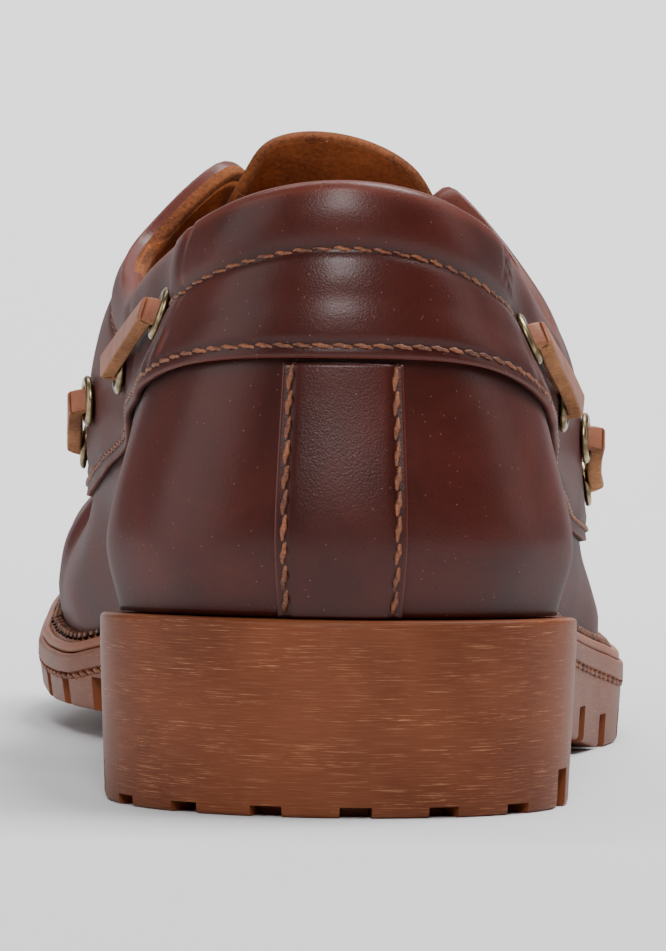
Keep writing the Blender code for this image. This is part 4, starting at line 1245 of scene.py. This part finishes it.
row_end = walk_at(BAND_END - FRONT_ROW_IN / SOLE_LENGTH)
row_walks = [walk for walk in WALKS if walk < row_end] + [row_end]
bm = bmesh.new()
for girth_of in (upper_row_girth, low_row_girth):
    sew(bm, [band_stitch(*at, girth_of(*at)) for at in round_trip(row_walks)])
for side in (LATERAL_SIDE, MEDIAL_SIDE):
    low, high = low_row_girth(side, row_end), upper_row_girth(side, row_end)
    sew(bm, [band_stitch(side, row_end, low + (high - low) * i / 23) for i in range(24)])
band_rows_sewn = made_stitching("collar_stitching", bm, COPPER_THREAD)


# Apron seam: the vamp's wall is gathered up against the apron and closed by hand with a thick thread
# that passes over the ridge, one stitch to each gather.

APRON_THREAD = 0.0012
APRON_HOLE = 0.0021     # from the ridge to the stitch's hole on each side
APRON_WALKS = [walk for walk in WALKS if walk > walk_at(BAND_END)]
APRON_START = walk_at(BAND_END + 0.02)

bm = bmesh.new()
for side in (LATERAL_SIDE, MEDIAL_SIDE):
    first = math.ceil(walked(side, APRON_START) / PLEAT_PITCH)
    for i in range(first, int(walked(side, 3.0) / PLEAT_PITCH) + 1):
        walk = min(APRON_WALKS, key=lambda at: abs(walked(side, at) - PLEAT_PITCH * i))
        low, ridge, high = (level_at_girth(side, walk, seam_girth(side, walk) + past)
                            for past in (-APRON_HOLE, 0.0, APRON_HOLE))
        add_stitch(bm, form(side, walk, low, 0.0001), form(side, walk, high, 0.0001),
                   outward(side, walk, ridge), APRON_THREAD, bulge=SEAM_HEIGHT / APRON_THREAD + 0.05)
apron_rows = made_stitching("apron_stitching", bm, COPPER_THREAD)


# Welt: a moulded gum strip cemented on the sole's ledge from the waist round the toe, with a corded bead
# against the upper and a row of lockstitches in the groove below the sole's rim.

WELT_START = 0.30
WELT_THICKNESS = 0.0020
WELT_BEAD = 0.0011
CORD_PITCH = 0.0038
CORD_WAVE = 0.12
BEAD_ARC = ((0.44, 0.35), (0.34, 0.85), (0.22, 1.0), (0.10, 0.85))      # shares of the width and the bead
BEAD_TOP = 9            # the bead's highest point in the profile

WELT_GUM = gum_finish("welt_gum", (0.24, 0.075, 0.030), (0.18, 0.052, 0.021), 0.10)


def close_ends(bm):
    """Join a tube's seam and put a face on each open end."""
    bmesh.ops.remove_doubles(bm, verts=bm.verts, dist=2e-6)
    bmesh.ops.holes_fill(bm, edges=[edge for edge in bm.edges if edge.is_boundary], sides=0)


def wall_reach(side, walk, height):
    return on_section(wall_section(side, walk), level_of(side, walk, height)).x


@lru_cache(maxsize=None)
def welt_profile(side, walk):
    """Points round the welt's section, closed: from its outer foot over the groove and bead to the upper."""
    foot, direction, half = station(side, walk)
    thick = WELT_THICKNESS * (0.4 + 0.6 * ease(WELT_START, WELT_START + 0.08, foot.y / SOLE_LENGTH))
    bead = WELT_BEAD * thick / WELT_THICKNESS
    reach = fanned(walk, half, HEEL_Y if walk < 1 else SOLE_LENGTH - TOE_Y)
    outer, inner = reach - EDGE_ROUND, wall_reach(side, walk, thick + bead) + CLEAR
    seat = wall_reach(side, walk, 0.0) + CLEAR
    width = outer - inner
    wave = CORD_WAVE * math.cos(2 * math.pi * walked(side, walk) / CORD_PITCH)
    points = [(outer, CLEAR), (outer, thick * 0.5), (outer - width * 0.04, thick * 0.82),
              (outer - width * 0.12, thick), (inner + width * 0.62, thick)]
    points += [(inner + width * share, thick * 0.84) for share in (0.56, 0.50)]
    points += [(inner + width * share, thick + bead * (rise + wave)) for share, rise in BEAD_ARC]
    points += [(inner, thick + bead * 0.5), (seat, CLEAR), (outer, CLEAR)]
    places = []
    for distance, height in points:
        place = swing(foot + direction * distance)
        place.z = sole_top(place.y) + height
        places.append(place)
    return places


welt_walks = [walk_at(WELT_START)] + [walk for walk in WALKS if walk > walk_at(WELT_START) + 0.004]
fine_walks = sorted(welt_walks + [(a + b) / 2 for a, b in zip(welt_walks, welt_walks[1:])])
welt_trip = ([(MEDIAL_SIDE, walk) for walk in fine_walks]
             + [(LATERAL_SIDE, walk) for walk in fine_walks[-2::-1]])
bm = bmesh.new()
laid_grid(bm, welt_trip, list(range(14)), lambda at, row: welt_profile(*at)[row])
close_ends(bm)
welt = made_object("welt_strip", bm, WELT_GUM)
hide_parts("welt")

bm = bmesh.new()
bead_route, groove_route = [], []
for side, walk in welt_trip:
    points = welt_profile(side, walk)
    bead_route.append((points[BEAD_TOP], Vector((0.0, 0.0, 1.0))))
    if walk > walk_at(WELT_START + 0.02):
        edge = sole_edge(side, walk, GROOVE_DEPTH * 0.8)
        edge.z = sole_top(sole_edge(side, walk).y) - RIM - GROOVE_WIDTH * 0.5
        groove_route.append((edge, station(side, walk)[1]))
sew(bm, bead_route, pitch=CORD_PITCH, thick=0.0013, share=0.92, slant=1.6)
bead_rows = made_stitching("welt_bead_stitching", bm, DARK_THREAD)
bm = bmesh.new()
sew(bm, groove_route, pitch=0.0040, thick=0.0010, share=0.80)
groove_rows = made_stitching("sole_stitching", bm, COPPER_THREAD)


# Tongue: a leaf of the leather lined with suede, sewn in under the throat's front end and up past the
# facings, where its rounded end stands free.

TONGUE_WALL = 0.0022
TONGUE_RISE = 0.018
TONGUE_LAP = 0.006
TONGUE_CROWN = 0.0012
TONGUE_SLOPE = 30.0
TONGUE_NARROW = 0.08
TONGUE_ALONG = (0.640, 0.600, 0.555, 0.510, 0.465, 0.425)
TONGUE_OUT = (0.25, 0.5, 0.75, 1.0)
TONGUE_ACROSS = 9


def level_at_reach(side, walk, reach):
    """Level near the top at which the form has closed in to a reach from the middle."""
    low, high = 0.55, 1.0
    for _ in range(24):
        middle = (low + high) / 2
        wide = on_section(wall_section(side, walk), middle).x > reach
        low, high = (middle, high) if wide else (low, middle)
    return (low + high) / 2


@lru_cache(maxsize=None)
def tongue_section(along, depth):
    """Nine places across the tongue at a depth under the form, lateral side first."""
    walk = walk_at(along)
    halves = []
    for side in (LATERAL_SIDE, MEDIAL_SIDE):
        edge = level_at_reach(side, walk, wall_section(side, walk)[-1].x + TONGUE_LAP)
        halves.append([form(side, walk, edge + (1 - edge) * share, -depth) for share in (0.0, 0.5, 1.0)])
    lateral, medial = halves
    bridge = []
    for share in (0.25, 0.5, 0.75):
        place = lateral[-1].lerp(medial[-1], share)
        place.z += TONGUE_CROWN * 4 * share * (1 - share)
        bridge.append(place)
    return lateral + bridge + medial[::-1]


def tongue_place(row, across):
    depth = WHOLE_WALL + 2 * CLEAR
    last = tongue_section(TONGUE_ALONG[-1], depth)
    if row < len(TONGUE_ALONG):
        return tongue_section(TONGUE_ALONG[row], depth)[across].copy()
    share = TONGUE_OUT[row - len(TONGUE_ALONG)]
    slope = math.radians(TONGUE_SLOPE)
    middle = sum(point.x for point in last) / len(last)
    widest = max(abs(point.x - middle) for point in last)
    aside = min(abs(last[across].x - middle) / widest, 1.0)
    heading = Vector((0.0, -math.cos(slope), math.sin(slope)))
    place = last[across] + heading * (TONGUE_RISE * share * (1 - 0.55 * aside ** 2.5))
    place.x = middle + (place.x - middle) * (1 - TONGUE_NARROW * share ** 2)
    return place


bm = bmesh.new()
tongue_rows = list(range(len(TONGUE_ALONG) + len(TONGUE_OUT)))
# The tongue's last row, at its top edge, is darkened through the shade attribute.
laid_grid(bm, tongue_rows, list(range(TONGUE_ACROSS)), tongue_place,
          lambda row, across: -0.5 * (row == tongue_rows[-1]))
tongue = made_object("tongue_leaf", bm, LEATHER, SUEDE, CUT_EDGE)
smooth = tongue.modifiers.new("smooth", "SUBSURF")
smooth.levels = smooth.render_levels = 4
give_wall(tongue, TONGUE_WALL, 1, 2)
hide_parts("tongue")


# Eyelets: brass rings with an antique finish, their barrel pushed through band and upper and rolled over
# on both sides.

EYELET_OUTER = 0.0090
EYELET_BORE = 0.0048
EYELET_WALL = 0.0005
EYELET_FLANGE = 0.0008
EYELET_DISH = 0.0003
EYELET_STEPS = 48

# Eyelets of the collar and the throat: place along the sole and height as a share of the collar height
SIDE_EYELETS = (
    # along, lateral, medial
    (0.133, 0.655, 0.705),
    (0.262, 0.530, 0.610),
    (0.367, 0.505, 0.585),
    (0.455, 0.440, 0.525),
)
THROAT_EYELETS = (
    # along, lateral, medial
    (0.462, 1.000, 1.060),
    (0.520, 0.905, 0.925),
    (0.578, 0.770, 0.775),
)


def brass_finish():
    """Brass with an antique finish: stained patches that are darker and duller."""
    material, tree, shader, place = surface_finish("antique_brass")
    share = ranged(tree, cloudy(tree, place["Object"], 420.0, Detail=5.0), 0.38, 0.62, 0.0, 1.0)
    fine = cloudy(tree, place["Object"], 3000.0, Detail=2.0)
    dressed(tree, shader, mixed(tree, share, (0.13, 0.095, 0.050), (0.38, 0.295, 0.16)),
            ranged(tree, share, 0.0, 1.0, 0.42, 0.26), 0.5, fine, 0.12, 0.0001)
    shader.inputs["Metallic"].default_value = 1.0
    return material


BRASS = brass_finish()


def eyelet_seat(side, row):
    walk = walk_at(row[0])
    level = level_of(side, walk, row[1 if side == LATERAL_SIDE else 2] * COLLAR_HEIGHT)
    return seam_place(side, walk, level)


def turned_eyelet(bm, seat, normal):
    """A ring spun from its section: barrel with a flat foot, and a rounded flange."""
    bore, outer = EYELET_BORE / 2, EYELET_OUTER / 2
    barrel, depth = bore + EYELET_WALL, WHOLE_WALL
    lift, high = CLEAR, CLEAR + EYELET_DISH + EYELET_FLANGE
    section = [(bore, -depth), (barrel, -depth), (barrel, lift), (outer - 0.0002, lift),
               (outer, lift + 0.0003),
               (outer - 0.00015, high - 0.00035), (outer - 0.0006, high - 0.00006), (outer - 0.0011, high),
               (bore + 0.0007, high - 0.00015), (bore + 0.0002, high - 0.0005), (bore, high - 0.0010)]
    ring = [bm.verts.new((distance, 0.0, height)) for distance, height in section]
    edges = [bm.edges.new((ring[i], ring[(i + 1) % len(ring)])) for i in range(len(ring))]
    bmesh.ops.spin(bm, geom=ring + edges, axis=(0, 0, 1), cent=(0, 0, 0), steps=EYELET_STEPS,
                   angle=math.radians(360), use_merge=True)
    verts = {vert for edge in edges for vert in edge.verts}
    grown = set(verts)
    while verts:
        verts = {other for vert in verts for edge in vert.link_edges for other in edge.verts} - grown
        grown |= verts
    turn = normal.to_track_quat("Z", "Y").to_matrix().to_4x4()
    bmesh.ops.transform(bm, verts=list(grown), matrix=Matrix.Translation(seat) @ turn)
    for vert in grown:
        for face in vert.link_faces:
            face.smooth = True


for word, rows in (("side", SIDE_EYELETS), ("throat", THROAT_EYELETS)):
    bm = bmesh.new()
    names = []
    for side_word, side in (("lateral", LATERAL_SIDE), ("medial", MEDIAL_SIDE)):
        for i, row in enumerate(rows):
            turned_eyelet(bm, *eyelet_seat(side, row))
            names.append(f"eyelet_{word}_{side_word}_{i + 1}")
    rings = made_object(f"{word}_eyelet_rings", bm, BRASS)
    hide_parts(*names)


# Lace: one thong cut from oiled tan leather, smooth on its grain side and rough on its cut sides. It runs
# in the band's tunnel and comes out between the eyelets, where it shows on each side and at the throat.

LACE_WIDTH = 0.0040
LACE_THICK = 0.0026
LACE_CORNER = 0.0005
THROAT_ARCH = 0.0010
LACE_DIP = 0.0030
LACE_BEND = 0.0019
LACE_RISE = 0.0008
LACE_STAND = 0.0023


def thong_finish(name, dark, pale):
    """Oiled thong leather, smooth and evenly toned."""
    material, tree, shader, place = surface_finish(name)
    grain = grained(tree, place, 2600.0, 160.0)
    dressed(tree, shader, mixed(tree, grain["Tone"], dark, pale), 0.52, 0.35, grain["Height"], 0.35, 0.0002)
    return material


THONG = thong_finish("oiled_thong", (0.20, 0.062, 0.028), (0.31, 0.105, 0.050))
THONG_SIDE = suede_finish("thong_cut_side", (0.15, 0.050, 0.018), (0.44, 0.20, 0.085), 1300.0)

THONG_SECTION = [(x * (LACE_WIDTH / 2 - LACE_CORNER) + LACE_CORNER * math.cos(turn),
                  y * (LACE_THICK / 2 - LACE_CORNER) + LACE_CORNER * math.sin(turn))
                 for x, y, start in ((1, 1, 0), (-1, 1, 90), (-1, -1, 180), (1, -1, 270))
                 for turn in (math.radians(start + 90 * i / 3) for i in range(4))]
THONG_SECTION.append(THONG_SECTION[0])
GRAIN_ROWS = (1, 2, 3, 4, 5, 6)


def smooth_route(route, steps):
    """A soft curve through the places of a route, with its normals turned along it."""
    places, normals = [place for place, _ in route], [normal for _, normal in route]
    fine = []
    for i in range(len(places) - 1):
        a, b = places[max(i - 1, 0)], places[i]
        c, d = places[i + 1], places[min(i + 2, len(places) - 1)]
        for step in range(steps):
            t = step / steps
            place = 0.5 * (2 * b + (c - a) * t + (2 * a - 5 * b + 4 * c - d) * t * t
                           + (3 * b - a - 3 * c + d) * t ** 3)
            fine.append((place, normals[i].lerp(normals[i + 1], t).normalized()))
    fine.append((places[-1], normals[-1]))
    return fine


def lay_thong(bm, route):
    """The thong along a route of (place, up), its grain side up."""
    places = [place for place, _ in route]
    aheads = [(ahead - behind).normalized()
              for behind, ahead in zip(places[:1] + places[:-1], places[1:] + places[-1:])]

    def place(i, row):
        across = aheads[i].cross(route[i][1]).normalized()
        up = across.cross(aheads[i]).normalized()
        x, y = THONG_SECTION[row]
        return places[i] + across * x + up * y

    cells = laid_grid(bm, list(range(len(route))), list(range(len(THONG_SECTION))), place)
    sides = {vert for (i, row), vert in cells.items() if row not in GRAIN_ROWS}
    for face in {face for vert in sides for face in vert.link_faces}:
        face.material_index = 1


def dip(seat, target):
    """Route out of an eyelet: straight out of its barrel, then an even bend towards a place."""
    place, normal = seat
    ahead = target - place
    ahead = (ahead - normal * ahead.dot(normal)).normalized()
    route = [(place - normal * depth, -ahead) for depth in (LACE_DIP, LACE_DIP * 0.4)]
    for i in range(6):
        turn = math.radians(17 * i)
        bent = ahead * (LACE_BEND * (1 - math.cos(turn))) + normal * (LACE_RISE + LACE_BEND * math.sin(turn))
        route.append((place + bent, normal * math.sin(turn) - ahead * math.cos(turn)))
    return route


def stretch(side, first, last):
    """Route of the thong between two eyelets of the band."""
    middle = []
    for share in (0.34, 0.66):
        place, normal = eyelet_seat(side, [a + (b - a) * share for a, b in zip(first, last)])
        middle.append((place + normal * LACE_STAND, normal))
    back = dip(eyelet_seat(side, last), middle[-1][0])
    return dip(eyelet_seat(side, first), middle[0][0]) + middle + back[::-1]


bm = bmesh.new()
for side in (LATERAL_SIDE, MEDIAL_SIDE):
    for first, last in ((0, 1), (2, 3)):
        lay_thong(bm, smooth_route(stretch(side, SIDE_EYELETS[first], SIDE_EYELETS[last]), 5))
close_ends(bm)
side_thongs = made_object("side_thongs", bm, THONG, THONG_SIDE)
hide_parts(*[f"lace_side_{word}_{i}" for word in ("lateral", "medial") for i in (1, 2)])


def throat_bar(row):
    """Route over the throat between the two eyelets of a pair, lateral side first."""
    walk = walk_at(row[0])
    seats = [eyelet_seat(side, row) for side in (LATERAL_SIDE, MEDIAL_SIDE)]
    tops = [surface(side, walk, 1.0) for side in (LATERAL_SIDE, MEDIAL_SIDE)]
    middle = tops[0].lerp(tops[1], 0.5)
    middle.z = max(top.z for top in tops) + THROAT_ARCH + LACE_THICK
    up = (seats[0][1] + seats[1][1]).normalized()
    return dip(seats[0], middle) + [(middle, up)] + dip(seats[1], middle)[::-1]


bm = bmesh.new()
for row in THROAT_EYELETS[1:]:
    lay_thong(bm, smooth_route(throat_bar(row), 5))
close_ends(bm)
throat_thongs = made_object("throat_thongs", bm, THONG, THONG_SIDE)
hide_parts("lace_throat_1", "lace_throat_2")


# Studio: a pale sweep under and behind the shoe, a tall soft window behind the camera and two wide
# soft panels at the sides.

SWEEP_WIDTH = 2.8
SWEEP_FRONT, SWEEP_TURN, SWEEP_TOP = -4.0, 1.1, 5.0
SWEEP_RADIUS = 2.6

PALE, _, shader, _ = surface_finish("pale_sweep")
shader.inputs["Base Color"].default_value = (0.66, 0.66, 0.67, 1.0)
shader.inputs["Roughness"].default_value = 0.9
shader.inputs["Specular IOR Level"].default_value = 0.2

bm = bmesh.new()
sweep_rows = [(SWEEP_FRONT, 0.0), (SWEEP_TURN, 0.0)]
for turn in (math.radians(5 * i) for i in range(1, 19)):
    sweep_rows.append((SWEEP_TURN + SWEEP_RADIUS * math.sin(turn), SWEEP_RADIUS * (1 - math.cos(turn))))
sweep_rows.append((SWEEP_TURN + SWEEP_RADIUS, SWEEP_TOP))
made = bmesh.ops.create_grid(bm, x_segments=1, y_segments=len(sweep_rows) - 1, size=0.5)["verts"]
for vert in made:
    y, z = sweep_rows[round((vert.co.y + 0.5) * (len(sweep_rows) - 1))]
    vert.co = Vector((vert.co.x * SWEEP_WIDTH, y, z))
for face in bm.faces:
    face.smooth = True
mesh = bpy.data.meshes.new("sweep")
bm.to_mesh(mesh)
bm.free()
mesh.materials.append(PALE)
sweep = bpy.data.objects.new("sweep", mesh)
bpy.context.scene.collection.objects.link(sweep)


def soft_light(name, place, target, size, power):
    light = bpy.data.lights.new(name, "AREA")
    light.shape = "RECTANGLE"
    light.size, light.size_y = size
    light.energy = power
    lamp = bpy.data.objects.new(name, light)
    bpy.context.scene.collection.objects.link(lamp)
    lamp.location = place
    lamp.rotation_euler = (Vector(target) - Vector(place)).to_track_quat("-Z", "Y").to_euler()


soft_light("window", (-0.05, -1.72, 1.20), (0.0, -0.12, 0.06), (0.50, 0.8), 26.0)
soft_light("left_panel", (-1.5, -0.45, 0.6), (0.0, -0.02, 0.05), (1.3, 1.3), 10.0)
soft_light("right_panel", (1.6, 0.15, 0.8), (0.0, 0.0, 0.05), (0.8, 1.4), 4.2)
soft_light("overhead", (0.65, 0.1, 1.7), (0.0, 0.0, 0.0), (0.9, 0.9), 40.0)
soft_light("backdrop_light", (0.0, 1.0, 2.6), (0.0, 3.4, 0.6), (3.5, 1.0), 205.0)
world = bpy.data.worlds.new("studio")
world.use_nodes = True
world.node_tree.nodes["Background"].inputs["Color"].default_value = (0.80, 0.81, 0.83, 1.0)
world.node_tree.nodes["Background"].inputs["Strength"].default_value = 0.08
bpy.context.scene.world = world

# The photograph's view: low behind the heel through a long lens, rolled a little
HEEL_LINE = sum(corner.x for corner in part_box("back_strip")) / 2
camera_data = bpy.data.cameras.new("camera")
camera_data.sensor_width = 36.0
camera_data.lens = 179.6
camera = bpy.data.objects.new("camera", camera_data)
bpy.context.scene.collection.objects.link(camera)
camera.location = (HEEL_LINE - 0.0040, -0.872, 0.0668)
PITCH, YAW, ROLL_DEG = 1.14, -0.21, 0.75
camera.rotation_euler = (Matrix.Rotation(math.radians(YAW), 4, "Z")
                         @ Matrix.Rotation(math.radians(90 - PITCH), 4, "X")
                         @ Matrix.Rotation(math.radians(ROLL_DEG), 4, "Z")).to_euler()
bpy.context.scene.camera = camera
